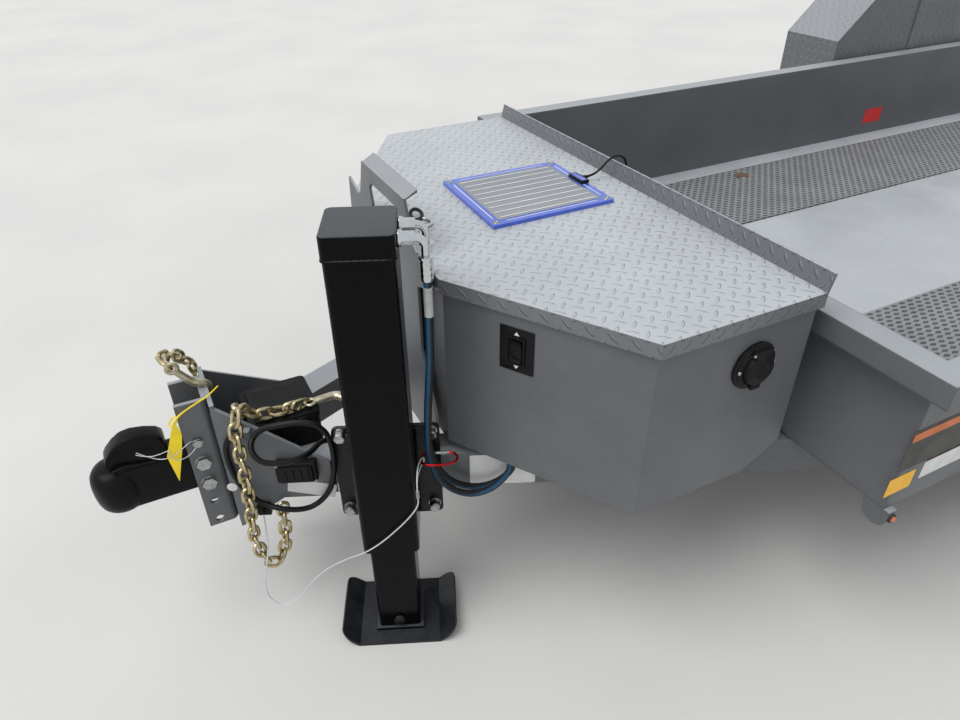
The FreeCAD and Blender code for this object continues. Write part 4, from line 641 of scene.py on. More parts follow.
# Red printed vinyl: clean and bright inside the bed.
RED_VINYL = Finish("red_vinyl", "#dc2a26", "#cf2521", 0.4, patch_mm=30, dust_share=0.02)
# Rust that rain has spread from a scratch: rough brown with darker flecks.
RUST_STAIN = Finish(
    "rust_stain", "#6b4a35", "#59483c", 0.8, patch_mm=9, grain_mm=0.9, dust_share=0.3)
# Weld bead under the grey coat: rippled and a little rougher, with a painted pale reflection on
# its upper side.
WELD = Finish(
    "painted_weld", "#626468", "#595b5f", 0.4, patch_mm=6, grain_mm=1.5, grain_depth_mm=0.2,
    dust_share=0.15, painted_reflection="#aeb2b6", painted_reflection_share=0.5)

SLOT_FINISHES: dict[str, Finish] = {
    "grey_paint": GREY_COAT, "black_paint": BLACK_ENAMEL, "tread_plate": TREAD_COAT,
    "zinc": BRIGHT_ZINC, "gold_zinc": GOLD_ZINC, "steel": PIN_STEEL, "chrome": HARD_CHROME,
    "rim_silver": RIM_PAINT, "tyre": RUBBER, "hose_rubber": HOSE_COVER, "rubber": RUBBER,
    "black_plastic": MOULDED_BLACK, "solar_blue": BLUE_FRAME, "red_lens": RED_GLASS,
    "amber_lens": AMBER_GLASS, "red_anodised": RED_ANODISED, "wire_coat": COATED_WIRE,
}
NODE_FINISHES: dict[str, Finish] = {
    "traction_strips": GRIP_COAT, "bed_floor": DECK_COAT, "bed_walls": RIM_COAT,
    "ball_coupler": CAST_COAT, "jack_foot": WORN_ENAMEL, "jack_mount": WORN_ENAMEL,
    "cylinder_barrel": BLACK_ENAMEL, "jack_fittings": HARD_CHROME, "chain_hook": FORGED,
}


@dataclass
class PaintShop:
    """Makes each finish once and puts it on pieces and carried-over nodes."""

    made: dict[str, bpy.types.Material] = field(default_factory=dict)

    def material(self, finish: Finish) -> bpy.types.Material:
        """The material of a finish, made at its first use.

        Args:
            finish: The finish.

        Returns:
            Its material.
        """
        if finish.name not in self.made:
            self.made[finish.name] = finish.build()
        return self.made[finish.name]

    def dress(self, piece: Piece, finish: Finish, slot: str = "",
              body: Body | str = Body.CHASSIS, angle_deg: float = 35.0) -> Piece:
        """Finishes a piece and lets it ride on its body.

        Args:
            piece: The modelled piece, in place.
            finish: Its finish.
            slot: The record's material slot, if it has one; not used.
            body: The body that it moves with.
            angle_deg: Faces that meet at less than this are shaded as one.

        Returns:
            The piece.
        """
        settle(piece)
        piece.data.materials.clear()
        piece.data.materials.append(self.material(finish))
        bpy.ops.object.shade_smooth_by_angle(angle=math.radians(angle_deg))
        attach(piece, body.value if isinstance(body, Body) else body)
        LOG.info("piece %s", piece.name)
        return piece

    def spin(self, name: str, profile: Profile, origin: Vector, axis: Vector, steps: int,
             finish: Finish, slot: str = "", body: Body | str = Body.CHASSIS) -> Piece:
        """Spins a piece from a profile and finishes it.

        Args:
            name: The piece's name.
            profile: Its profile, and with it origin, axis and steps, as turned takes them.
            finish: Its finish, and with it slot and body, as dress takes them.

        Returns:
            The piece.
        """
        return self.dress(turned(name, profile, origin, axis, steps), finish, slot, body)

    def dress_cord(self, cord: Piece, body: Body, finish: Finish, node: str,
                   slot: str) -> None:
        """Finishes a cord's curve and lets it ride on its body.

        Args:
            cord: The curve.
            body: The body that it moves with.
            finish: Its finish.
            node: The node that it replaces.
            slot: The record's material slot; not used.
        """
        cord.data.materials.append(self.material(finish))
        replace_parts(cord, node)
        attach(cord, body.value)
        LOG.info("cord %s", cord.name)

    def dress_nodes(self, frame: dict) -> None:
        """Gives each carried-over node its finish, by its name or its material slot.
        """
        for item in frame["record"]["subparts"]:
            finish = NODE_FINISHES.get(item["node"], SLOT_FINISHES[item["material_slot"]])
            piece = frame["nodes"][item["node"]]
            piece.data.materials.clear()
            piece.data.materials.append(self.material(finish))


def only(piece: Piece) -> None:
    """Selects one piece and nothing else."""
    bpy.ops.object.select_all(action="DESELECT")
    piece.select_set(True)
    bpy.context.view_layer.objects.active = piece


def named(name: str) -> Piece:
    """Names the piece that was just added.

    Args:
        name: Its name.

    Returns:
        The piece.
    """
    piece = bpy.context.object
    piece.name = name
    piece.data.name = name
    return piece


def settle(piece: Piece) -> None:
    """Puts a piece's place, turn and scale into its mesh."""
    only(piece)
    bpy.ops.object.transform_apply(location=True, rotation=True, scale=True)


def open_edit(piece: Piece, kind: str = "FACE") -> None:
    """Opens a piece for editing with nothing selected.

    Args:
        piece: The piece.
        kind: What is selected in it, FACE or VERT.
    """
    only(piece)
    bpy.ops.object.mode_set(mode="EDIT")
    bpy.ops.mesh.select_mode(type=kind)
    bpy.ops.mesh.select_all(action="DESELECT")


def pick(piece: Piece, test: Callable, kind: str = "FACE") -> None:
    """Selects the faces or vertices that pass a test, and nothing else.

    Args:
        piece: The piece that is open for editing.
        test: Takes one item and says whether it is wanted.
        kind: FACE or VERT.
    """
    bpy.ops.mesh.select_mode(type=kind)
    bpy.ops.mesh.select_all(action="DESELECT")
    mesh = bmesh.from_edit_mesh(piece.data)
    for item in mesh.faces if kind == "FACE" else mesh.verts:
        if test(item):
            item.select_set(True)
    mesh.select_flush_mode()
    bmesh.update_edit_mesh(piece.data)


def close_edit() -> None:
    """Goes back to object mode."""
    bpy.ops.object.mode_set(mode="OBJECT")


def broad(axis: str, area: float, sign: int = 1) -> Callable:
    """A test for faces that look along an axis and are larger than an area."""
    return lambda face: getattr(face.normal, axis) * sign > 0.95 and face.calc_area() > area


def inset_faces(piece: Piece, test: Callable, *insets: tuple[float, float]) -> None:
    """Insets the faces that pass a test, once or more.

    Args:
        piece: The piece.
        test: Takes one face and says whether it is wanted.
        insets: The width and depth of each inset in millimetres.
    """
    open_edit(piece)
    pick(piece, test)
    for width, depth in insets:
        bpy.ops.mesh.inset(thickness=width / 1000, depth=depth / 1000)
    close_edit()


def bevelled(piece: Piece, width_mm: float, segments: int = 2,
             angle_deg: float = 30.0) -> Piece:
    """Rounds a piece's edges with an applied Bevel modifier.

    Args:
        piece: The piece.
        width_mm: The rounding's width.
        segments: How many faces it has across.
        angle_deg: Edges flatter than this stay as they are.

    Returns:
        The piece.
    """
    only(piece)
    bpy.ops.object.modifier_add(type="BEVEL")
    modifier = piece.modifiers[-1]
    modifier.width = width_mm / 1000
    modifier.segments = segments
    modifier.limit_method = "ANGLE"
    modifier.angle_limit = math.radians(angle_deg)
    bpy.ops.object.modifier_apply(modifier=modifier.name)
    return piece


def shaped_block(name: str, low: Vector, high: Vector, edge_mm: float,
                 segments: int = 2) -> Piece:
    """A block between two corners with rounded edges.

    Args:
        name: The piece's name.
        low: Its lowest corner.
        high: Its highest corner.
        edge_mm: The width of its rounding.
        segments: How many faces the rounding has across.

    Returns:
        The piece.
    """
    bpy.ops.mesh.primitive_cube_add(size=1, location=(low + high) / 2)
    piece = named(name)
    piece.scale = high - low
    settle(piece)
    return bevelled(piece, edge_mm, segments)


def mesh_piece(name: str, corners: list[Vector], edges: list | None = None,
               faces: list | None = None) -> Piece:
    """A new piece from a few corners, to be shaped further.

    Args:
        name: The piece's name.
        corners: Its corners.
        edges: Pairs of corner numbers.
        faces: Lists of corner numbers.

    Returns:
        The piece.
    """
    mesh = bpy.data.meshes.new(name)
    mesh.from_pydata([tuple(corner) for corner in corners], edges or [], faces or [])
    piece = bpy.data.objects.new(name, mesh)
    bpy.context.scene.collection.objects.link(piece)
    return piece


def sheet_piece(name: str, corners: list[Vector], thickness_mm: float,
                round_mm: float = 0.0) -> Piece:
    """A flat sheet with rounded corners, given some thickness.

    Args:
        name: The piece's name.
        corners: Its corners, turning left seen from its front.
        thickness_mm: How far its front stands off the corners' plane.
        round_mm: The radius of its corners.

    Returns:
        The piece.
    """
    piece = mesh_piece(name, corners, faces=[list(range(len(corners)))])
    open_edit(piece)
    if round_mm:
        bpy.ops.mesh.select_mode(type="VERT")
        bpy.ops.mesh.select_all(action="SELECT")
        bpy.ops.mesh.bevel(offset=round_mm / 1000, segments=4, affect="VERTICES")
    bpy.ops.mesh.select_mode(type="FACE")
    bpy.ops.mesh.select_all(action="SELECT")
    mesh = bmesh.from_edit_mesh(piece.data)
    mesh.faces.ensure_lookup_table()
    normal = mesh.faces[0].normal.copy()
    bpy.ops.mesh.extrude_region_move(
        TRANSFORM_OT_translate={"value": normal * thickness_mm / 1000})
    bpy.ops.mesh.select_all(action="SELECT")
    bpy.ops.mesh.normals_make_consistent(inside=False)
    close_edit()
    return piece


def card(name: str, corners: list[Vector], thickness_mm: float, round_mm: float,
         out: Vector) -> Piece:
    """A flat sheet whose front looks outward, whichever way round its corners come.

    Args:
        name: The piece's name.
        corners: Its corners.
        thickness_mm: Its thickness.
        round_mm: The radius of its corners.
        out: The way outward.

    Returns:
        The piece.
    """
    normal = (corners[1] - corners[0]).cross(corners[2] - corners[1])
    if normal.dot(out) < 0:
        corners = corners[::-1]
    return sheet_piece(name, corners, thickness_mm, round_mm)


def turned(name: str, profile: Profile, origin: Vector, axis: Vector,
           steps: int = 32) -> Piece:
    """A piece spun from a profile.

    Args:
        name: The piece's name.
        profile: Pairs of radius and length along the axis, in millimetres.
        origin: Where the axis starts.
        axis: The axis's direction.
        steps: How many faces go round.

    Returns:
        The piece.
    """
    axis = axis.normalized()
    side = axis.orthogonal().normalized()
    corners = [origin + axis * along / 1000 + side * radius / 1000
               for radius, along in profile]
    piece = mesh_piece(name, corners, [(i, i + 1) for i in range(len(corners) - 1)])
    open_edit(piece, "VERT")
    bpy.ops.mesh.select_all(action="SELECT")
    bpy.ops.mesh.spin(steps=steps, angle=2 * math.pi, center=origin, axis=axis)
    bpy.ops.mesh.select_all(action="SELECT")
    bpy.ops.mesh.remove_doubles(threshold=0.00002)
    bpy.ops.mesh.select_all(action="SELECT")
    bpy.ops.mesh.normals_make_consistent(inside=False)
    close_edit()
    return piece


def cord_curve(name: str, points: list[Vector], radius_mm: float,
               cyclic: bool = False) -> Piece:
    """A smooth round cord.

    Args:
        name: The piece's name.
        points: The route, whose places are the curve's control points.
        radius_mm: The cord's radius.
        cyclic: Whether it closes on itself.

    Returns:
        The curve.
    """
    data = bpy.data.curves.new(name, "CURVE")
    data.dimensions = "3D"
    data.bevel_depth = radius_mm / 1000
    data.bevel_resolution = 3
    data.resolution_u = 6
    data.use_fill_caps = True
    spline = data.splines.new("NURBS")
    spline.points.add(len(points) - 1)
    for control, point in zip(spline.points, points):
        control.co = (*point, 1.0)
    spline.order_u = 3
    spline.use_endpoint_u = not cyclic
    spline.use_cyclic_u = cyclic
    piece = bpy.data.objects.new(name, data)
    bpy.context.scene.collection.objects.link(piece)
    return piece


def smooth_line(points: list[Vector]) -> list[Vector]:
    """The places along a smooth bare spline that has a route's points.

    Args:
        points: The route.

    Returns:
        The places in order.
    """
    guide = cord_curve("guide_line", points, 0.0)
    guide.data.use_fill_caps = False
    bpy.context.view_layer.update()
    mesh = bpy.data.meshes.new_from_object(guide)
    places = [vertex.co.copy() for vertex in mesh.vertices]
    bpy.data.objects.remove(guide, do_unlink=True)
    bpy.data.meshes.remove(mesh)
    return places


def wire_piece(name: str, points: list[Vector], radius_mm: float, cyclic: bool = False,
               widths: list[float] | None = None) -> Piece:
    """A bent wire or bar as a mesh.

    Args:
        name: The piece's name.
        points: The route.
        radius_mm: The wire's radius.
        cyclic: Whether it closes on itself.
        widths: How thick it is at each place, as a share of its radius.

    Returns:
        The piece.
    """
    piece = cord_curve(name, points, radius_mm, cyclic)
    for control, width in zip(piece.data.splines[0].points, widths or []):
        control.radius = width
    only(piece)
    bpy.ops.object.convert(target="MESH")
    return bpy.context.object


def joined(name: str, pieces: list[Piece]) -> Piece:
    """Several meshes made one piece.

    Args:
        name: The piece's name.
        pieces: The meshes.

    Returns:
        The piece.
    """
    only(pieces[0])
    for piece in pieces[1:]:
        piece.select_set(True)
    bpy.ops.object.join()
    return named(name)


def repeated(piece: Piece, name: str, matrices: list[Matrix]) -> Piece:
    """Copies of one modelled piece, joined; the first one goes.

    Args:
        piece: The modelled piece.
        name: The name of the joined copies.
        matrices: What moves each copy to its place.

    Returns:
        The joined copies.
    """
    copies = []
    for index, matrix in enumerate(matrices):
        mesh = piece.data.copy()
        mesh.transform(matrix)
        copies.append(bpy.data.objects.new(f"{name}_{index}", mesh))
        bpy.context.scene.collection.objects.link(copies[-1])
    bpy.data.objects.remove(piece, do_unlink=True)
    return joined(name, copies)


def facing(origin: Vector, direction: Vector, roll_deg: float = 0.0) -> Matrix:
    """A matrix that takes +Z to a direction and the origin to a place."""
    turn = direction.to_track_quat("Z", "Y").to_matrix().to_4x4()
    return Matrix.Translation(origin) @ turn @ Matrix.Rotation(math.radians(roll_deg), 4, "Z")


def hex_head(name: str, across_mm: float, height_mm: float,
             washer_mm: float = 0.0) -> Piece:
    """A hexagon head that stands on the origin along +Z, with its corners turned off.

    Args:
        name: The piece's name.
        across_mm: The width across its flats.
        height_mm: Its height.
        washer_mm: The thickness of a washer face below it, if it has one.

    Returns:
        The piece.
    """
    radius = across_mm / math.sqrt(3) / 1000
    height = height_mm / 1000
    bpy.ops.mesh.primitive_cylinder_add(vertices=6, radius=radius, depth=height,
                                        location=(0, 0, height / 2))
    piece = named(name)
    settle(piece)
    open_edit(piece)
    pick(piece, lambda face: face.normal.z > 0.9)
    bpy.ops.mesh.inset(thickness=radius * 0.12, depth=0)
    bpy.ops.mesh.extrude_region_shrink_fatten(TRANSFORM_OT_shrink_fatten={"value": height * 0.1})
    bpy.ops.mesh.inset(thickness=radius * 0.35, depth=-height * 0.06)
    if washer_mm:
        pick(piece, lambda face: face.normal.z < -0.9)
        bpy.ops.mesh.inset(thickness=radius * 0.04, depth=0)
        bpy.ops.mesh.extrude_region_shrink_fatten(
            TRANSFORM_OT_shrink_fatten={"value": washer_mm / 1000})
    close_edit()
    return bevelled(piece, across_mm * 0.025, 1, 40)


def screw_head(name: str, radius_mm: float) -> Piece:
    """A low domed screw head with a socket, standing on the origin.

    Args:
        name: The piece's name.
        radius_mm: Its radius.

    Returns:
        The piece.
    """
    socket = radius_mm * 0.45
    profile = [(radius_mm, 0), (radius_mm, radius_mm * 0.25),
               (radius_mm * 0.85, radius_mm * 0.5), (socket + 0.3, radius_mm * 0.62),
               (socket, radius_mm * 0.58), (socket, radius_mm * 0.2), (0, radius_mm * 0.2)]
    return turned(name, profile, Vector(), UP, 12)


@dataclass
class TowCable:
    """The cable to the towing vehicle: over the gusset, looped and plugged on the rail."""

    shop: PaintShop
    radius_mm: float = 6.6
    plug_x: float = 800.0
    plug_y: float = 152.0
    plug_z: float = 486.3
    route: tuple[Point, ...] = (
        (1071, 106, 567), (1081, 102, 556), (1088, 99.5, 540), (1091.5, 98, 518),
        (1092, 97, 490), (1089, 98.5, 458), (1083, 101, 428), (1073, 108, 402),
        (1059, 121, 382), (1039, 142, 373), (1014, 165, 370), (984, 172.5, 358),
        (953, 173, 349), (928, 175, 356), (906, 182, 380), (892, 188, 412), (884, 193, 447),
        (880, 196, 483), (879, 197, 520), (882, 196, 552), (891, 191, 578), (909, 182, 594),
        (936, 169, 599), (963, 157, 596), (985, 148, 592), (1006, 144, 591),
        (1026, 148, 587), (1040, 159, 578), (1045, 173, 565), (1040, 187, 552),
        (1026, 198, 543), (1004, 205, 538), (974, 208, 534), (945, 203, 531),
        (921, 188, 528), (903, 167, 524), (885, 152, 516), (863, 148, 503), (841, 151, 491))

    def build(self) -> None:
        """Builds the cable, the plug and the relief at each end."""
        end = lid_point(self.plug_x, self.plug_y, self.plug_z)
        points = [head_point(66, 19, 571), head_point(54, 19, 571), *lid_route(self.route),
                  lid_point(self.plug_x + 20, self.plug_y, self.plug_z), end]
        cable = cord_curve("tow_cable", points, self.radius_mm)
        self.shop.dress_cord(cable, Body.CHASSIS, CABLE_JACKET, "trailer_cable",
                             "black_plastic")
        self.plug(end)
        self.boot(end)
        self.relief(*points[:2])

    def plug(self, end: Vector) -> Piece:
        """A moulded seven-way plug with finger grooves round its rim.

        Args:
            end: Where the cable enters it.

        Returns:
            The plug.
        """
        profile = [(0, -2), (9, -2), (10, 2), (14.5, 6), (15.5, 9), (15.5, 15), (19.5, 15),
                   (20, 16), (20, 26), (19, 28), (17, 28), (17, 31), (16, 32), (16, 35),
                   (17, 36), (17, 39), (16, 40), (16, 43), (17, 44), (17, 57), (16, 58),
                   (14, 58), (13.6, 46), (0, 46)]
        piece = turned("tow_plug", profile, end, BACK, 36)
        collar_x = end.x - 0.021
        open_edit(piece)
        pick(piece, lambda face: abs(face.calc_center_median().x - collar_x) < 0.004
             and abs(face.normal.x) < 0.3
             and int(math.degrees(math.atan2(face.normal.y, face.normal.z)) // 10) % 2 == 0)
        bpy.ops.mesh.extrude_faces_move(TRANSFORM_OT_shrink_fatten={"value": -0.0008})
        close_edit()
        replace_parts(piece, "trailer_plug")
        return self.shop.dress(piece, MOULDED_BLACK, "black_plastic")

    def boot(self, end: Vector) -> Piece:
        """The ribbed boot where the cable enters the plug."""
        profile = [(6.6, -24), (7.3, -23), (7.9, -18), (7.2, -17), (8.3, -13), (7.6, -12),
                   (8.8, -7), (8.0, -6), (9.2, -1), (9.4, 2)]
        return self.shop.spin("tow_plug_boot", profile, end, BACK, 20,
                              CABLE_JACKET, "black_plastic")

    def relief(self, start: Vector, ahead: Vector) -> Piece:
        """The tapered relief where the cable leaves its clip."""
        profile = [(9.5, -1), (9.8, 1), (9, 4), (8.4, 9), (7.8, 16), (7.2, 24), (6.7, 27)]
        return self.shop.spin("tow_cable_relief", profile, start, ahead - start, 20,
                              CABLE_JACKET, "black_plastic")


@dataclass
class PullCable:
    """The thin coated wire from the pull switch to its red snap hook on a hose."""

    shop: PaintShop
    radius_mm: float = 1.6
    loop: tuple[Point, ...] = (
        (1051, 146, 326), (1055, 160, 298), (1061, 175, 262), (1078, 192, 222),
        (1092, 206, 176), (1082, 220, 137), (1052, 236, 126), (1018, 250, 160),
        (985, 266, 214), (952, 284, 258), (908, 308, 292))
    past_jack: tuple[Point, ...] = (
        (-65, 68.5, 307), (-34, 70.5, 329), (2, 71, 364), (37, 71, 404), (58, 70.8, 433),
        (69.5, 69.5, 455), (69.5, 70.5, 475), (69.5, 71.4, 486), (69.5, 71, 504),
        (70, 62, 526), (72, 46, 539), (76, 29, 542), (81, 16, 540), (84.7, 11, 536),
        (84.7, 10, 525), (80.5, 12, 520), (75, 23, 515), (71, 40, 512), (69.5, 56, 508),
        (69.5, 67, 497), (69.5, 67.6, 486), (69.5, 67.6, 480))
    crimp_base: Point = (69.5, 69.5, 475)
    hook_z: float = 530.0

    def build(self) -> None:
        """Builds the wire with its eye, the crimp, the snap hook and the switch's pin."""
        start = head_point(70, 24, 338)
        points = [start, head_point(70, 36, 338), *lid_route(self.loop),
                  *jack_route(self.past_jack)]
        wire = cord_curve("pull_wire", points, self.radius_mm)
        self.shop.dress_cord(wire, Body.CHASSIS, COATED_WIRE, "breakaway_cable", "wire_coat")
        crimp = self.crimp(jack_point(*self.crimp_base))
        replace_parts(self.snap_hook(), "snap_hook")
        self.switch_pin(start)

    def crimp(self, origin: Vector) -> Piece:
        """The pressed sleeve that closes the wire's eye."""
        profile = [(1.7, -1), (3.6, 0), (4.4, 1.5), (4.4, 6), (3.7, 7), (4.4, 8.5), (4.4, 14),
                   (3.7, 15), (4.4, 16.5), (4.2, 21), (3.4, 22), (1.7, 22.5)]
        return self.shop.spin("pull_wire_crimp", profile, origin, UP, 20,
                              BRIGHT_ZINC, "wire_coat")

    def snap_hook(self) -> Piece:
        """A red carabiner: a bent bar and its rivets, with a plated gate beside them.

        Returns:
            The bar with its rivets.
        """
        bend = [(80, 0), (80, 18), (86, 27), (104, 29.5), (136, 29), (152, 22), (158, 8),
                (154, -5), (140, -10.2), (118, -10.4), (98, -10.2), (84, -8)]
        ring = wire_piece("snap_hook_bar", jack_route((s, o, self.hook_z) for s, o in bend),
                          2.9, cyclic=True)
        self.shop.spin("snap_hook_gate",
                       [(0, 0), (3.3, 0.5), (3.5, 4), (3.0, 5), (3.5, 6), (3.5, 34),
                        (3.0, 35), (3.5, 36), (3.3, 41), (0, 41.5)],
                       jack_point(100, -10.3, self.hook_z), REARWARD, 16,
                       BRIGHT_ZINC)
        rivets = [turned(f"snap_hook_rivet_{index}",
                         [(0, -3.9), (1.6, -3.9), (2, -3.5), (2, 3.5), (1.6, 3.9), (0, 3.9)],
                         jack_point(s, -10.3, self.hook_z), UP, 12)
                  for index, s in enumerate((102, 139))]
        for piece in (ring, *rivets):
            settle(piece)
        hook = joined("red_snap_hook", [ring, *rivets])
        return self.shop.dress(hook, RED_ANODISED, "red_anodised")

    def switch_pin(self, start: Vector) -> None:
        """The round pull pin in the switch that the wire comes out of."""
        self.shop.spin("pull_switch_pin", [(0, -2), (7.5, -1), (7.5, 2.5), (4.5, 3.5), (4, 8),
                                           (2.6, 9.5), (1.7, 13), (0, 13)],
                       start - OUTWARD * 0.0005, OUTWARD, 20, MOULDED_BLACK,
                       "black_plastic")


@dataclass
class SafetyChains:
    """Two welded-link chains with clevis hooks, from the rails' gussets to the hook plates."""

    shop: PaintShop
    pitch_mm: float = 30.0
    ring_mm: float = 12.25
    wire_mm: float = 4.6
    stretch_mm: float = 7.25
    eye_gap: float = 10.0
    eye_ring: float = 11.0
    eye_wire: float = 4.8
    first_stretch: float = 1.12
    first_reach: float = 13.5
    hook_radius: float = 8.4
    flatness: float = 0.74
    lying: tuple[tuple[float, ...], ...] = (
        (785, 41, 565, 0.5), (781.5, 52, 565, 0.85), (780.5, 64, 565, 1.1),
        (783.5, 76, 565, 1.3), (792, 84, 565, 1.4), (803, 86, 565, 1.4),
        (813.5, 81, 565, 1.35), (819.5, 71, 565, 1.35), (826, 66, 565, 1.35),
        (838, 65, 565, 1.35), (854, 66, 565, 1.3), (868, 66, 565, 1.25), (876, 66, 565, 1.1))
    hung: tuple[tuple[float, ...], ...] = (
        (1088, 0, 610, 0.45), (1086, 0, 620, 0.7), (1085.5, 0, 632, 0.9),
        (1087.5, 0, 642, 1.05), (1094, 0, 649, 1.15), (1103.5, 0, 652, 1.2),
        (1113.5, 0, 656, 1.2), (1123, 0, 666.5, 1.1), (1131, 0, 677.6, 1.05),
        (1139, 0, 689.1, 1), (1143.6, 0, 695.6, 1))
    left: tuple[Point, ...] = (
        (916, 72, 569.9), (985, 74, 569.9), (1028, 78, 592), (1042, 98, 631), (1053, 126, 638),
        (1066, 143, 604), (1067, 145, 500), (1072, 145, 400), (1084, 145, 300),
        (1074, 145, 215), (1047, 145, 174), (1019, 143, 216), (1007, 143.4, 300),
        (1003, 141.6, 372))
    right: tuple[Point, ...] = (
        (1166, -30, 716), (1140, -74, 700), (1108, -106, 640), (1084, -130, 540),
        (1076, -140, 420), (1074, -143, 300), (1056, -143, 216), (1030, -143, 190),
        (1010, -139, 232), (1004, -136, 310), (1003, -132.6, 372))

    def build(self) -> None:
        """Builds each hook and lays the links along their route from its eye."""
        for side, route, bend, normal in (("left", self.left, self.lying, UP),
                                          ("right", self.right, self.hung, LEFT)):
            spots = lid_route(place[:3] for place in bend)
            shank = (spots[-1] - spots[-2]).normalized()
            eye = spots[-1] + shank * self.eye_gap / 1000
            hook = self.hook(side, spots, [place[3] for place in bend], eye, normal)
            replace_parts(hook, "chain_hook")
            self.shop.dress(hook, FORGED, "gold_zinc", angle_deg=60)
            points = lid_route(route)
            matrices = [self.first_link(eye, shank, normal, points[0]), *self.places(points)]
            chain = repeated(self.link(), f"chain_links_{side}", matrices)
            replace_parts(chain, f"safety_chain_{side}")
            self.shop.dress(chain, GOLD_ZINC, "gold_zinc")

    def first_link(self, eye: Vector, shank: Vector, normal: Vector,
                   start: Vector) -> Matrix:
        """Where the link goes that joins a hook's eye to the chain's first link.

        Args:
            eye: The eye's centre.
            shank: The direction from the hook's bend to its eye.
            normal: The axis of the eye's hole.
            start: Where the chain's route begins.

        Returns:
            The link's matrix, round the eye's outer rim.
        """
        rim = eye + shank * self.eye_ring / 1000
        along = (start - rim).normalized()
        tangent = normal.cross(shank)
        tangent = (tangent - along * tangent.dot(along)).normalized()
        turn = Matrix((along, tangent.cross(along), tangent)).transposed().to_4x4()
        longer = Matrix.Diagonal((self.first_stretch, 1, 1, 1))
        return Matrix.Translation(rim + along * self.first_reach / 1000) @ turn @ longer

    def hook(self, side: str, spots: list[Vector], widths: list[float], eye: Vector,
             normal: Vector) -> Piece:
        """A forged slip hook: a bend that swells at its back, a shank and an eye.

        Args:
            side: The side of the chain that it ends.
            spots: The places along its middle, from the tip to the eye.
            widths: How thick it is at each, as a share of its radius.
            eye: The eye's centre.
            normal: The direction across the hook's flat side.

        Returns:
            The hook.
        """
        body = wire_piece(f"hook_bend_{side}", spots, self.hook_radius, widths=widths)
        bpy.ops.mesh.primitive_torus_add(major_radius=self.eye_ring / 1000,
                                         minor_radius=self.eye_wire / 1000,
                                         major_segments=28, minor_segments=12)
        ring = named(f"hook_eye_{side}")
        place = facing(eye, normal)
        ring.data.transform(place)
        hook = joined(f"forged_hook_{side}", [body, ring])
        flatter = Matrix.Diagonal((1, 1, self.flatness, 1))
        hook.data.transform(place @ flatter @ place.inverted())
        return hook

    def link(self) -> Piece:
        """One welded link around the origin, long along X, with its weld upset.

        Returns:
            The link.
        """
        bpy.ops.mesh.primitive_torus_add(major_radius=self.ring_mm / 1000,
                                         minor_radius=self.wire_mm / 1000,
                                         major_segments=20, minor_segments=8)
        piece = named("chain_link")
        open_edit(piece, "VERT")
        for sign in (1, -1):
            pick(piece, lambda vert: vert.co.x * sign > 0.001, "VERT")
            bpy.ops.transform.translate(value=(sign * self.stretch_mm / 1000, 0, 0))
        pick(piece, lambda vert: abs(vert.co.x) < 0.0045 and vert.co.y > 0, "VERT")
        bpy.ops.transform.shrink_fatten(value=0.0005)
        close_edit()
        return piece

    def places(self, route: list[Vector]) -> list[Matrix]:
        """Where the links go: one pitch apart, each a quarter turn from the last.

        Args:
            route: The chain's route.

        Returns:
            Each link's matrix.
        """
        samples = smooth_line(route)
        matrices: list[Matrix] = []
        travelled, due = 0.0, self.pitch_mm / 2000
        normal = (samples[1] - samples[0]).normalized().orthogonal()
        for first, second in zip(samples, samples[1:]):
            step = second - first
            along = step.normalized()
            normal = (normal - along * normal.dot(along)).normalized()
            while step.length > 0 and travelled + step.length >= due:
                place = first + along * (due - travelled)
                count = len(matrices)
                roll = 45 + 90 * (count % 2) + 7 * math.sin(count * 2.3)
                sag = 4 * math.sin(count * 1.7)
                turn = Matrix((along, along.cross(normal), normal)).transposed().to_4x4()
                matrices.append(Matrix.Translation(place) @ turn
                                @ Matrix.Rotation(math.radians(roll), 4, "X")
                                @ Matrix.Rotation(math.radians(sag), 4, "Y"))
                due += self.pitch_mm / 1000
            travelled += step.length
        return matrices


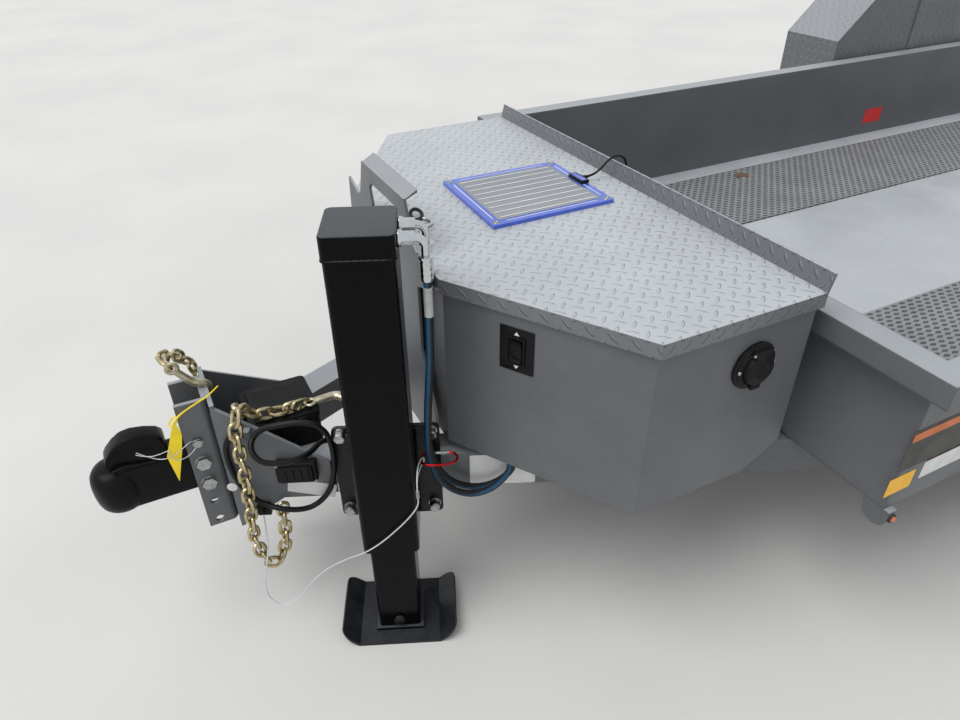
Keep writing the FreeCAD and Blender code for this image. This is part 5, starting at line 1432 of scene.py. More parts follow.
@dataclass
class HydraulicHoses:
    """Two hoses from the jack's fittings down, under the box and up into its floor."""

    shop: PaintShop
    radius_mm: float = 8.0
    outer: tuple[Point, ...] = (
        (114, 28, 975), (114, 28, 880), (110, 24, 780), (102, 17, 690), (97, 11, 615),
        (96, 4, 550), (103, -4, 492), (121, -11, 440), (152, -18, 402), (195, -23, 385),
        (238, -26, 400), (271, -28, 440), (278, -28, 466), (278, -28, 491))
    inner: tuple[Point, ...] = (
        (114, -28, 975), (114, -28, 880), (110, -29, 780), (102, -30, 690), (96, -31, 615),
        (95, -31.5, 550), (100, -36, 495), (115, -44, 445), (142, -48, 405), (182, -52, 381),
        (226, -54, 380), (264, -55, 402), (290, -56, 437), (290, -56, 491))

    def build(self) -> None:
        """Builds both hoses, the sleeve on the outer one and the grommets in the floor."""
        for name, route, length in (("outer", self.outer, 0.781), ("inner", self.inner, 0.808)):
            points = jack_route(route)
            hose = cord_curve(f"hose_{name}", points, self.radius_mm)
            self.shop.dress_cord(hose, Body.CHASSIS, HOSE_COVER, "hydraulic_hoses",
                                 "hose_rubber")
            pieces = [self.grommet(name, points[-1])]
            if name == "outer":
                pieces.append(self.sleeve())

    def sleeve(self) -> Piece:
        """The blank pale sleeve round the outer hose, with a ridge at each end."""
        profile = [(7.9, 0), (8.7, 0.5), (8.8, 2), (8.5, 3), (8.5, 58), (8.8, 59), (8.7, 61),
                   (7.9, 61.6)]
        return self.shop.spin("hose_sleeve", profile, jack_point(113.8, 27.6, 900), UP, 24,
                              SILVER_FILM, "hose_rubber")

    def grommet(self, name: str, end: Vector) -> Piece:
        """The moulded grommet where a hose goes into the floor of the box."""
        profile = [(8, -9), (10, -8.4), (13, -4), (13.5, -1), (13.5, 0.4), (8, 0.4)]
        return self.shop.spin(f"hose_grommet_{name}", profile, end, UP, 24,
                              MOULDED_BLACK, "hose_rubber")


@dataclass
class CouplerTrim:
    """The cast coupler with its latch hood, washers, latch wires and the yellow tag."""

    shop: PaintShop
    rear_x: float = 1110.5
    half: float = 39.6
    low: float = 393.0
    top: float = 503.0
    ball_x: float = 1323.0
    bolt_x: float = 1142.0
    hood_base: Point = (0.0, 0.0, 550.0)

    def build(self) -> None:
        """Builds the casting and everything that hangs on it."""
        casting = joined("coupler_casting", [self.nose(), self.shank(), self.hood(),
                                             self.hood_rim()])
        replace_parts(casting, "ball_coupler")
        self.shop.dress(casting, CAST_COAT, "black_paint")
        for index, z in enumerate((414, 475)):
            self.shop.spin(f"coupler_washer_{index}",
                           [(10.5, 0), (17.8, 0), (18.2, 0.5), (18.2, 1.6), (17.7, 2.1),
                            (10.5, 2.1)], lid_point(self.bolt_x, 50, z), LEFT, 28,
                           BRIGHT_ZINC, "zinc")
        self.tag()
        self.latch_wires()

    def nose(self) -> Piece:
        """The rounded nose over the ball, with its socket left open below."""
        profile = [(0, 62), (20, 56), (29, 42), (31, 28), (31, 0), (38, 0), (44, 3), (49, 10),
                   (52.5, 22), (54.6, 40), (55, 56), (54.4, 74), (51, 90), (44, 101),
                   (32, 108), (16, 110.5), (0, 111)]
        return turned("coupler_nose", profile, lid_point(self.ball_x, 0, self.low), UP, 40)

    def shank(self) -> Piece:
        """The square shank between the channel's sides."""
        return shaped_block("coupler_shank", lid_point(self.rear_x, -self.half, self.low),
                            lid_point(self.ball_x - 8, self.half, self.top), 9, 3)

    def hood(self) -> Piece:
        """The latch hood: an arched cap with a beak that overhangs the nose.

        Returns:
            The hood.
        """
        outline = [(1206, 496), (1206, 540), (1214, 556), (1240, 568), (1268, 573),
                   (1290, 570), (1310, 556), (1326, 538), (1335, 524), (1333, 512),
                   (1322, 506), (1300, 503)]
        piece = sheet_piece("coupler_hood", lid_route((x, -35.5, z) for x, z in outline), 71)
        base = lid_point(*self.hood_base)
        beak_x = lid_point(1318, 0, 0).x
        open_edit(piece)
        pick(piece, lambda vert: vert.co.z > 0.552, "VERT")
        bpy.ops.transform.resize(value=(1, 0.62, 1), center_override=base)
        pick(piece, lambda vert: vert.co.x > beak_x, "VERT")
        bpy.ops.transform.resize(value=(1, 0.72, 1), center_override=base)
        close_edit()
        return bevelled(piece, 7, 3, 22)

    def hood_rim(self) -> Piece:
        """The raised lip along the hood's foot on both sides.

        Returns:
            Both lips as one mesh.
        """
        line = [(1210, 507), (1240, 506), (1275, 509), (1300, 514), (1322, 508)]
        return joined("hood_lips", [
            wire_piece(f"hood_lip_{sign}", lid_route((x, sign * 36.5, z) for x, z in line), 3.6)
            for sign in (1, -1)])

    def tag(self) -> None:
        """The blank yellow tag and the tie that holds it to the channel."""
        corners = [(1176, 66, 617), (1170, 66.6, 601), (1167, 67.6, 579), (1177, 70, 535),
                   (1200, 72, 458), (1209, 69, 533)]
        route = [(1177, 66.5, 612), (1170, 64, 620), (1152, 59, 629), (1135, 56, 634),
                 (1118, 54, 640), (1100, 53, 646), (1088, 51, 652), (1070, 49, 664)]
        ring = [(1176, 66, 608), (1186, 61, 602), (1186, 52, 607), (1176, 50, 616),
                (1168, 55, 619), (1167, 63, 613)]
        self.shop.dress(sheet_piece("yellow_tag", lid_route(corners), 0.9, 2), YELLOW_TAG)
        tie = wire_piece("tag_tie", lid_route(route), 1.9,
                         widths=[0.8, 1.6, 1, 1, 1, 1, 0.9, 0.7])
        self.shop.dress(tie, YELLOW_TAG)
        loop = wire_piece("tag_loop", lid_route(ring), 1.7, cyclic=True)
        self.shop.dress(loop, YELLOW_TAG)

    def latch_wires(self) -> None:
        """Two thin white lanyards from the top pin round the hood's latch."""
        first = [(1142, 57, 540), (1151, 64, 556), (1180, 74, 541), (1211, 66, 523),
                 (1240, 52, 527), (1266, 40, 545)]
        second = [(1142, 57, 534), (1156, 66, 520), (1186, 75, 516), (1206, 74, 534),
                  (1196, 72, 552), (1218, 62, 540), (1244, 50, 530), (1268, 38.5, 538)]
        for name, route in (("upper", first), ("lower", second)):
            wire = wire_piece(f"latch_lanyard_{name}", lid_route(route), 1.0)
            self.shop.dress(wire, COATED_WIRE)


@dataclass
class JackTrim:
    """The jack's cap bead, hose nuts and collars, mount bolts and washers, and foot pin."""

    shop: PaintShop
    half: float = 63.5
    round_mm: float = 12.0
    seam_z: float = 1034.0
    bolts: tuple[tuple[float, float], ...] = ((-100, 325), (-100, 550), (100, 325), (100, 550))

    def build(self) -> None:
        """Builds the bead, the hose nuts, the mount's bolts and the foot's details."""
        self.seam()
        self.nuts()
        self.mount_bolts()
        self.foot_pin()

    def ring(self, reach: float, z: float) -> list[Vector]:
        """Places round the jack's tube, three at each of its corners.

        Args:
            reach: How far they are from its middle.
            z: Their height.

        Returns:
            The places in order.
        """
        flat = reach - self.round_mm
        places = []
        for sign_s, sign_o in ((1, 1), (-1, 1), (-1, -1), (1, -1)):
            near = (sign_s * reach, sign_o * flat)
            far = (sign_s * flat, sign_o * reach)
            corner = (sign_s * (reach - 3.5), sign_o * (reach - 3.5))
            order = (near, corner, far) if sign_s * sign_o > 0 else (far, corner, near)
            places += [jack_point(s, o, z) for s, o in order]
        return places

    def seam(self) -> None:
        """The rippled bead under the cap, all the way round."""
        corners = self.ring(self.half + 1.2, self.seam_z)
        line = smooth_line(corners + corners[:1])
        places = []
        for first, second in zip(line, line[1:]):
            count = max(1, round((second - first).length / 0.006))
            places += [first.lerp(second, index / count) for index in range(count)]
        widths = [0.8 + 0.35 * (index % 2) for index in range(len(places))]
        bead = wire_piece("jack_cap_bead", places, 3.2, cyclic=True, widths=widths)
        self.shop.dress(bead, BLACK_ENAMEL, "black_paint")

    def nuts(self) -> None:
        """Second hexagons and hose-end collars on the chrome fittings."""
        profile = [(11.1, 975), (11.6, 976), (11.6, 984), (11.3, 985), (11.6, 986),
                   (11.6, 996), (11.3, 997), (11.6, 998), (11.6, 1010), (11.1, 1012)]
        for index, o in enumerate((28, -28)):
            place = facing(jack_point(self.half + 2, o, 1058), REARWARD, 30)
            nut = repeated(hex_head("port_hex", 27, 7), f"port_nut_{index}", [place])
            self.shop.dress(nut, HARD_CHROME, "chrome")
            self.shop.spin(f"hose_end_{index}", profile, jack_point(114, o, 0), UP, 24,
                           HARD_CHROME, "chrome")

    def mount_bolts(self) -> None:
        """A plated head over each bolt of the mount, with a flat washer behind it."""
        spots = [jack_point(s, -self.half, z) for s, z in self.bolts]
        places = [facing(spot, OUTWARD, 12 + 19 * index) for index, spot in enumerate(spots)]
        heads = repeated(hex_head("mount_head", 24.2, 19.5), "mount_bolt_heads", places)
        self.shop.dress(heads, BRIGHT_ZINC, "zinc")
        for index, spot in enumerate(spots):
            self.shop.spin(f"mount_washer_{index}",
                           [(6.5, 0), (14.5, 0), (15, 0.5), (15, 2), (14.5, 2.5), (6.5, 2.5)],
                           spot, OUTWARD, 24, BRIGHT_ZINC, "zinc")

    def foot_pin(self) -> None:
        """A turned collar at each end of the foot's pivot."""
        for sign, name in ((1, "outer"), (-1, "inner")):
            self.shop.spin(f"foot_pin_collar_{name}",
                           [(0, 1.8), (8, 1.8), (9.5, 0.8), (12.4, 0.6), (14.5, -0.5),
                            (15, -3), (15, -6)], jack_point(0, sign * 58.5, 40),
                           OUTWARD * sign, 24, WORN_ENAMEL, "black_paint", body=Body.LEG)


@dataclass
class LidTrim:
    """The solar panel's cells, eyelets and lead, and the lanyard ring on the lid."""

    shop: PaintShop
    face_z: float = 922.0
    corners: tuple[tuple[float, float], ...] = ((415, -198), (92, -193), (102, 101), (429, 104))
    lead: tuple[Point, ...] = (
        (97, -45, 4.5), (78, -45, 4.5), (57, -44, 9), (38, -42, 24), (21, -40, 41),
        (0, -38, 49), (-20, -36, 43), (-31, -35, 26), (-33, -34, 8))

    def build(self) -> None:
        """Builds the panel's face, its hardware and the ring."""
        self.cells()
        self.lines()
        self.eyelets()
        self.block()
        self.panel_lead()
        self.ring()

    def place(self, u: float, v: float, lift: float = 0.0) -> Vector:
        """A place on the panel.

        Args:
            u: Its share of the way from the front edge to the rear one.
            v: Its share of the way across.
            lift: Its height over the panel's face.

        Returns:
            The place.
        """
        first, second, third, fourth = [Vector((*corner, 0)) for corner in self.corners]
        spot = first.lerp(fourth, v).lerp(second.lerp(third, v), u)
        return lid_point(spot.x, spot.y, self.face_z + lift)

    def patch(self, name: str, low: tuple[float, float], high: tuple[float, float],
              lift: float, thick: float) -> Piece:
        """A thin sheet on the panel.

        Args:
            name: The sheet's name.
            low: Its first corner in u and v.
            high: Its last corner.
            lift: The height of its back over the panel's face.
            thick: Its thickness.

        Returns:
            The sheet.
        """
        corners = [self.place(u, v, lift) for u, v in ((low[0], low[1]), (low[0], high[1]),
                                                       (high[0], high[1]), (high[0], low[1]))]
        return sheet_piece(name, corners, thick)

    def cells(self) -> None:
        """The cells' dark field with a raised edge of clear film."""
        sheet = self.patch("solar_cells", (0.075, 0.075), (0.925, 0.925), 0.1, 0.5)
        inset_faces(sheet, broad("z", 0), (1.2, -0.2))
        self.shop.dress(sheet, CELL_GLASS, body=Body.LID, slot="solar_blue")

    def lines(self) -> None:
        """The white bus lines between the rows of cells, and the outline round them."""
        strips = []
        for index in range(9):
            v = 0.115 + index * 0.77 / 8
            strips.append(self.patch(f"bus_{index}", (0.10, v - 0.006), (0.90, v + 0.006),
                                     0.6, 0.3))
        for edge in (0.045, 0.955):
            strips.append(self.patch(f"edge_{edge}", (edge - 0.004, 0.12), (edge + 0.004, 0.88),
                                     0.1, 0.4))
            strips.append(self.patch(f"side_{edge}", (0.12, edge - 0.004), (0.88, edge + 0.004),
                                     0.1, 0.4))
        self.shop.dress(joined("solar_lines", strips), WHITE_LINE, body=Body.LID)

    def eyelets(self) -> None:
        """A plated eyelet with a screw in each corner of the panel."""
        profile = [(0, 1.9), (2.4, 1.9), (4.6, 1.2), (5, 0.5), (5.6, 0.5), (6.6, 1.4),
                   (8.4, 1.2), (9, 0.4), (9, 0)]
        model = turned("solar_eyelet", profile, Vector(), UP, 20)
        spots = [self.place(u, v) for u in (0.04, 0.96) for v in (0.045, 0.955)]
        eyelets = repeated(model, "solar_eyelets", [Matrix.Translation(spot) for spot in spots])
        self.shop.dress(eyelets, BRIGHT_ZINC, body=Body.LID)

    def block(self) -> None:
        """The black moulded box where the lead leaves the panel."""
        piece = shaped_block("solar_box", lid_point(95.5, -76, self.face_z - 0.2),
                             lid_point(118.5, -14, self.face_z + 9.6), 2.2, 3)
        inset_faces(piece, broad("z", 0.0004), (3, -0.8))
        self.shop.dress(piece, MOULDED_BLACK, body=Body.LID)

    def panel_lead(self) -> None:
        """The panel's lead: over the rear flange and down behind it."""
        points = [lid_point(x, y, self.face_z + z) for x, y, z in self.lead]
        lead = cord_curve("solar_cable", points, 3.0)
        self.shop.dress_cord(lead, Body.LID, CABLE_JACKET, "solar_lead", "black_plastic")
        boot = self.shop.spin("solar_boot", [(5, -2), (5.4, 2), (4.6, 5), (5, 7), (4.2, 10),
                                             (4.6, 12), (3.8, 16), (3.2, 20)],
                              points[0], BACK, 16, MOULDED_BLACK, body=Body.LID)

    def ring(self) -> None:
        """A plated ring and a rubber loop lying at the lid's front edge."""
        ring = [(550, 24, 916.5), (565, 19, 918), (573, 0, 918), (567, -20, 917),
                (548, -24, 916.5), (536, -8, 916.5), (537, 13, 916.5)]
        loop = [(565, -19, 917), (571, -30, 921), (568, -45, 927), (555, -53, 930),
                (543, -46, 926), (543, -30, 920), (554, -19, 917)]
        piece = wire_piece("lid_ring", lid_route(ring), 3.2, cyclic=True)
        self.shop.dress(piece, HARD_CHROME, body=Body.LID, slot="zinc")
        piece = wire_piece("lid_loop", lid_route(loop), 4.2, cyclic=True)
        self.shop.dress(piece, RUBBER, body=Body.LID)


@dataclass
class SwitchPanel:
    """The jack switch's plate with a bezel, a two-way rocker and arrow marks."""

    shop: PaintShop
    centre: Point = (533.6, 401.8, 800.0)
    along: Vector = field(default_factory=lambda: Vector((-0.525, 0.851, 0)).normalized())
    away: Vector = field(default_factory=lambda: Vector((0.851, 0.525, 0)).normalized())

    def build(self) -> None:
        """Builds the plate, the rocker and the marks."""
        plate = self.plate()
        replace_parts(plate, "switch_plate")
        self.shop.dress(plate, MOULDED_BLACK, "black_plastic")
        self.shop.dress(self.rocker(), MOULDED_BLACK, "black_plastic")
        self.marks()

    def put(self, piece: Piece) -> Piece:
        """Moves a piece built round the origin, facing +Z, onto the box's side.

        Args:
            piece: The piece.

        Returns:
            The piece in its place.
        """
        turn = Matrix((self.along, UP, self.away)).transposed().to_4x4()
        piece.data.transform(Matrix.Translation(lid_point(*self.centre)) @ turn)
        return piece

    def plate(self) -> Piece:
        """The upright plate with a raised frame and a well for the rocker.

        Returns:
            The plate.
        """
        piece = shaped_block("switch_face", Vector((-0.038, -0.05, 0)),
                             Vector((0.038, 0.05, 0.003)), 0.7)
        inset_faces(piece, broad("z", 0.001), (17, 0), (0.8, 4.2), (3, 0), (0.6, -3))
        return self.put(piece)

    def rocker(self) -> Piece:
        """A rocker with its ends raised, grooved across for the thumb.

        Returns:
            The rocker.
        """
        outline = [(-0.024, 0.004), (-0.024, 0.011), (-0.013, 0.0085), (-0.003, 0.0075),
                   (0.003, 0.0075), (0.013, 0.009), (0.024, 0.013), (0.024, 0.004)]
        corners = [Vector((-0.013, y, z)) for y, z in reversed(outline)]
        piece = bevelled(sheet_piece("switch_rocker", corners, 26), 0.9, 2, 25)
        for band in (-0.018, -0.014, 0.014, 0.018):
            inset_faces(piece, lambda face: face.normal.z > 0.5
                        and abs(face.calc_center_median().y - band) < 0.003, (1.2, -0.6))
        return self.put(piece)

    def marks(self) -> None:
        """A white triangle above and below the rocker."""
        marks = []
        for sign in (1, -1):
            foot, tip = sign * 0.035, sign * 0.043
            corners = [Vector((-0.006, foot, 0.003)), Vector((0.006, foot, 0.003)),
                       Vector((0, tip, 0.003))]
            marks.append(card(f"mark_{sign}", corners, 0.25, 0, UP))
        self.shop.dress(self.put(joined("switch_marks", marks)), WHITE_LINE)


@dataclass
class InletFlap:
    """The power inlet: a notched flange, a sprung flap with its hinge, and screws."""

    shop: PaintShop
    centre: Point = (150.0, 641.0, 790.0)

    def build(self) -> None:
        """Builds the flange, the flap, the hinge and the screws."""
        origin = lid_point(*self.centre)
        flange = turned("inlet_flange", [(0, 0), (50, 0), (52, 1.5), (52, 5), (50, 7),
                                         (47, 7.6), (46, 10), (44, 11.5), (41, 12),
                                         (40, 14), (37, 14), (36.4, 9), (0, 9)],
                        origin, LEFT, 48)
        self.notch(flange, origin)
        flap = turned("inlet_cap", [(0, 26), (12, 26), (14, 27.4), (17, 27.6), (19, 26.4),
                                    (27, 25.6), (32, 23.4), (34.6, 19), (35.2, 12),
                                    (35.2, 9.5), (0, 9.5)], origin, LEFT, 48)
        hinge = shaped_block("inlet_hinge", origin + Vector((-0.022, 0.008, 0.028)),
                             origin + Vector((0.022, 0.026, 0.044)), 4, 3)
        tab = shaped_block("inlet_tab", origin + Vector((-0.012, 0.010, -0.047)),
                           origin + Vector((0.012, 0.021, -0.030)), 3.5, 3)
        body = joined("inlet_flap", [flange, flap, hinge, tab])
        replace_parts(body, "power_inlet")
        self.shop.dress(body, MOULDED_BLACK, "black_plastic")
        self.shop.spin("inlet_hinge_pin", [(0, -27), (2.4, -27), (2.8, -26.4), (2.8, 26.4),
                                           (2.4, 27), (0, 27)],
                       origin + Vector((0, 0.021, 0.038)), Vector((1, 0, 0)), 12, BRIGHT_ZINC)
        places = [facing(origin + Vector((x, 0.0115, z)), LEFT, roll)
                  for x, z, roll in ((0.043, 0, 10), (-0.043, 0, 40))]
        screws = repeated(screw_head("inlet_screw", 4.6), "inlet_screws", places)
        self.shop.dress(screws, BRIGHT_ZINC)

    def notch(self, flange: Piece, origin: Vector) -> None:
        """Sinks notches into the flange's rim.

        Args:
            flange: The flange.
            origin: Its centre.
        """
        def in_notch(face: Any) -> bool:
            """Whether a face lies in one of the rim's notches."""
            arm = face.calc_center_median() - origin
            return (-0.2 < face.normal.y < 0.6 and arm.xz.length > 0.0515
                    and int(math.degrees(math.atan2(arm.z, arm.x)) // 7.5) % 4 == 0)

        open_edit(flange)
        pick(flange, in_notch)
        bpy.ops.mesh.extrude_faces_move(TRANSFORM_OT_shrink_fatten={"value": -0.002})
        close_edit()


@dataclass
class CaseTrim:
    """The battery case's ribs, latches and lid panel, and a junction housing near it."""

    shop: PaintShop
    front: float = 1027.0
    rear: float = 872.0
    left: float = 90.0
    right: float = 60.0
    seam_z: float = 540.0

    def build(self) -> None:
        """Builds the housing, the case's ribs, its lid's raised panel and its latches."""
        self.housing()
        ribs = [self.block(f"rib_{index}", self.rear + 15 + index * 24, self.left - 2, 474, 6, 6,
                           self.seam_z - 477, 1.6) for index in range(6)]
        ribs += [self.block(f"front_rib_{index}", self.front - 2, 17 - self.right + index * 27,
                            474, 6, 6, self.seam_z - 477, 1.6) for index in range(5)]
        panel = self.block("case_lid_panel", self.rear + 12, 12 - self.right, 554,
                           self.front - self.rear - 24, self.left + self.right - 24, 5, 2.5, 3)
        inset_faces(panel, broad("z", 0.002), (12, -1.5))
        latches = [self.block(f"latch_{x}", x - 11, self.left - 1, 522, 22, 7.5, 30, 2.4, 3)
                   for x in (912, 984)]
        for piece in (joined("case_ribs", ribs), panel, joined("case_latches", latches)):
            self.shop.dress(piece, MOULDED_BLACK, "black_plastic")

    @staticmethod
    def block(name: str, x: float, y: float, z: float, long: float, wide: float, high: float,
              edge: float, segments: int = 2) -> Piece:
        """A block with rounded edges on the case.

        Args:
            name: The piece's name.
            x: Its lowest corner, and with it y and z.
            long: Its size along X, and with it wide and high.
            edge: The width of its rounding.
            segments: How many faces the rounding has across.

        Returns:
            The block.
        """
        return shaped_block(name, lid_point(x, y, z), lid_point(x + long, y + wide, z + high),
                            edge, segments)

    def housing(self) -> None:
        """A ribbed junction housing screwed to the left gusset, behind the cable."""
        turn = Matrix((-REARWARD, OUTWARD, UP)).transposed().to_4x4()
        place = Matrix.Translation(head_point(166, 10, 456)) @ turn
        body = shaped_block("housing_body", Vector((-0.044, 0, -0.026)),
                            Vector((0.048, 0.022, 0.030)), 4, 3)
        cover = shaped_block("housing_cover", Vector((-0.036, 0.018, -0.020)),
                             Vector((0.040, 0.030, 0.024)), 3, 3)
        inset_faces(cover, broad("y", 0.001), (4, -1.5))
        ribs = [shaped_block(f"housing_rib_{index}", Vector((x, 0.0275, -0.016)),
                             Vector((x + 0.005, 0.0315, 0.020)), 1.2)
                for index, x in enumerate((-0.028, -0.011, 0.006, 0.023))]
        housing = joined("junction_housing", [body, cover, *ribs])
        housing.data.transform(place)
        self.shop.dress(housing, MOULDED_BLACK, "black_plastic")
        places = [place @ facing(Vector((x, 0.0219, z)), LEFT, 20 * index)
                  for index, (x, z) in enumerate(((-0.040, -0.022), (0.044, 0.026)))]
        screws = repeated(screw_head("housing_screw", 4.2), "housing_screws", places)
        self.shop.dress(screws, BRIGHT_ZINC, "zinc")


@dataclass
class RailLabels:
    """Blank plates and labels on the tongue's left side, and a round sticker."""

    shop: PaintShop

    def build(self) -> None:
        """Builds the labels; the gusset's is a card that stands a little past its edges."""
        for name, outline, out, thick, round_mm in (
                ("rail_plate", ((556, 366.5), (711, 366.5), (711, 460), (556, 460)), 0.2,
                 0.9, 5),
                ("gusset_label", ((130, 385), (238, 357), (245, 397), (137, 425)), 10.2, 0.8,
                 2),
                ("small_label", ((244, 368), (281, 368), (281, 392), (244, 392)), 0.2, 0.7,
                 2)):
            corners = [head_point(s, out, z) for s, z in outline]
            self.shop.dress(card(name, corners, thick, round_mm, OUTWARD), WHITE_VINYL)
        self.shop.spin("round_sticker", [(0, 0.7), (9, 0.7), (9, 0.75), (12, 0.75),
                                         (12.1, 0.3), (12, -0.2)],
                       head_point(6.5, 10.1, 405), OUTWARD, 28, WHITE_VINYL)


@dataclass
class BedTrim:
    """Blank decals on the bed's walls, a rust stain on a strip and the front markers."""

    shop: PaintShop
    wall_out: float = 851.0
    wall_in: float = -846.0
    strip_top: float = 506.0

    def build(self) -> None:
        """Builds the decals, the stain and the markers."""
        near = self.wall_out + 0.15
        self.decal("side_plate", (-86, 577), (-404, 684), near, DARK_VINYL)
        self.decal("side_band", (-93, 655), (-397, 676), near + 0.6, ORANGE_VINYL)
        self.decal("white_panel", (-176, 525), (-330, 571), near, WHITE_VINYL)
        self.decal("orange_edge", (-180, 573.5), (-326, 576), near + 0.1, ORANGE_VINYL)
        self.decal("yellow_panel", (-75, 515), (-153, 563), near, YELLOW_VINYL)
        self.decal("red_panel", (-2050, 551), (-2165, 616), self.wall_in + 0.15, RED_VINYL)
        self.stain()
        self.markers()

    def markers(self) -> None:
        """A domed amber lens in a rubber ring on each front ear."""
        low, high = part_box("front_markers")
        for side, name in ((1, "left"), (-1, "right")):
            y = high[1] - 0.010 if side > 0 else low[1] + 0.010
            base = Vector(((low[0] + high[0]) / 2, y, (low[2] + high[2]) / 2))
            out = LEFT * side
            lens = self.shop.spin(f"marker_{name}", [(0, 9), (3.5, 8.4), (6.4, 6.6), (7.8, 4),
                                                     (8, 1), (8, 0)],
                                  base, out, 24, AMBER_GLASS, "amber_lens", body=Body.BED)
            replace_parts(lens, "front_markers")
            self.shop.spin(f"marker_ring_{name}", [(7.6, 0), (7.6, 4.4), (9, 5.2),
                                                   (10.6, 4.2), (11, 2), (11, 0)],
                           base, out, 24, RUBBER, body=Body.BED)

    def decal(self, name: str, low: tuple[float, float], high: tuple[float, float],
              y: float, finish: Finish) -> None:
        """A thin decal that faces the left side.

        Args:
            name: The piece's name.
            low: Its lower front corner in X and Z.
            high: Its upper rear corner.
            y: Where its back is.
            finish: Its finish.
        """
        corners = lid_route(((low[0], y, low[1]), (low[0], y, high[1]), (high[0], y, high[1]),
                             (high[0], y, low[1])))
        self.shop.dress(card(name, corners, 0.5, 3, LEFT), finish, body=Body.BED)

    def stain(self) -> None:
        """An uneven rust patch with two flecks beside it."""
        patches = []
        for number, (x, y, reach) in enumerate(((-1159, -686, 34), (-1122, -668, 9),
                                                (-1186, -655, 7))):
            corners = []
            for index in range(12):
                angle = index * math.pi / 6
                radius = reach * (0.72 + 0.28 * math.sin(2.3 * index + number))
                corners.append(lid_point(x + 1.5 * radius * math.cos(angle),
                                         y + radius * math.sin(angle), self.strip_top + 0.1))
            patches.append(sheet_piece(f"stain_{number}", corners, 0.4))
        self.shop.dress(joined("rust_patch", patches), RUST_STAIN, body=Body.BED)


@dataclass
class FenderTrim:
    """Rolled edges, seam bolts and lamp frames on both box fenders."""

    shop: PaintShop
    front: float = -1840.0
    rear: float = -3680.0
    inner: float = 925.0
    outer: float = 1215.0
    top: float = 1120.0
    corner_z: float = 920.0
    slope_run: float = 222.0
    skirt_z: float = 560.0
    bolt_z: float = 1085.0

    def build(self) -> None:
        """Builds the trim of the left and the right fender."""
        for side, name in ((1, "left"), (-1, "right")):
            self.edges(side, name)
            self.bolts(side, name)
            self.lamp_frame(side, name)

    def edges(self, side: int, name: str) -> None:
        """A rounded bead along the upper edge of each side sheet.

        Args:
            side: 1 on the left and -1 on the right.
            name: The side's name.
        """
        front, rear, top = self.front - 1.5, self.rear + 1.5, self.top - 1.5
        outline = [Vector(place) for place in (
            (front, self.skirt_z + 2), (front, self.corner_z),
            (self.front - self.slope_run, top), (self.rear + self.slope_run, top),
            (rear, self.corner_z), (rear, self.skirt_z + 2))]
        places = []
        for first, second in zip(outline, outline[1:]):
            places += [first, first.lerp(second, 0.03), first.lerp(second, 0.97)]
        places.append(outline[-1])
        beads = [wire_piece(f"bead_{y}", lid_route((x, side * y, z) for x, z in places), 1.7)
                 for y in (self.inner + 1.2, self.outer - 2.4)]
        self.shop.dress(joined(f"fender_beads_{name}", beads), WELD)

    def bolts(self, side: int, name: str) -> None:
        """Domed bolts along the side that looks at the bed.

        Args:
            side: 1 on the left and -1 on the right.
            name: The side's name.
        """
        places = [facing(lid_point(self.front - self.slope_run - 60 - index * 250,
                                   side * self.inner, self.bolt_z), LEFT * -side, 17 * index)
                  for index in range(6)]
        bolts = repeated(screw_head("fender_bolt", 8), f"fender_bolts_{name}", places)
        self.shop.dress(bolts, BRIGHT_ZINC)

    def lamp_frame(self, side: int, name: str) -> None:
        """The rubber frame round a tail lamp, open where the lens comes through.

        Args:
            side: 1 on the left and -1 on the right.
            name: The side's name.
        """
        low = lid_point(-3701, min(side * 993, side * 1157), 753)
        high = lid_point(-3679, max(side * 993, side * 1157), 827)
        frame = shaped_block(f"lamp_frame_{name}", low, high, 5, 3)
        inset_faces(frame, broad("x", 0.002, -1), (4, 1), (1, -12))
        self.shop.dress(frame, MOULDED_BLACK)


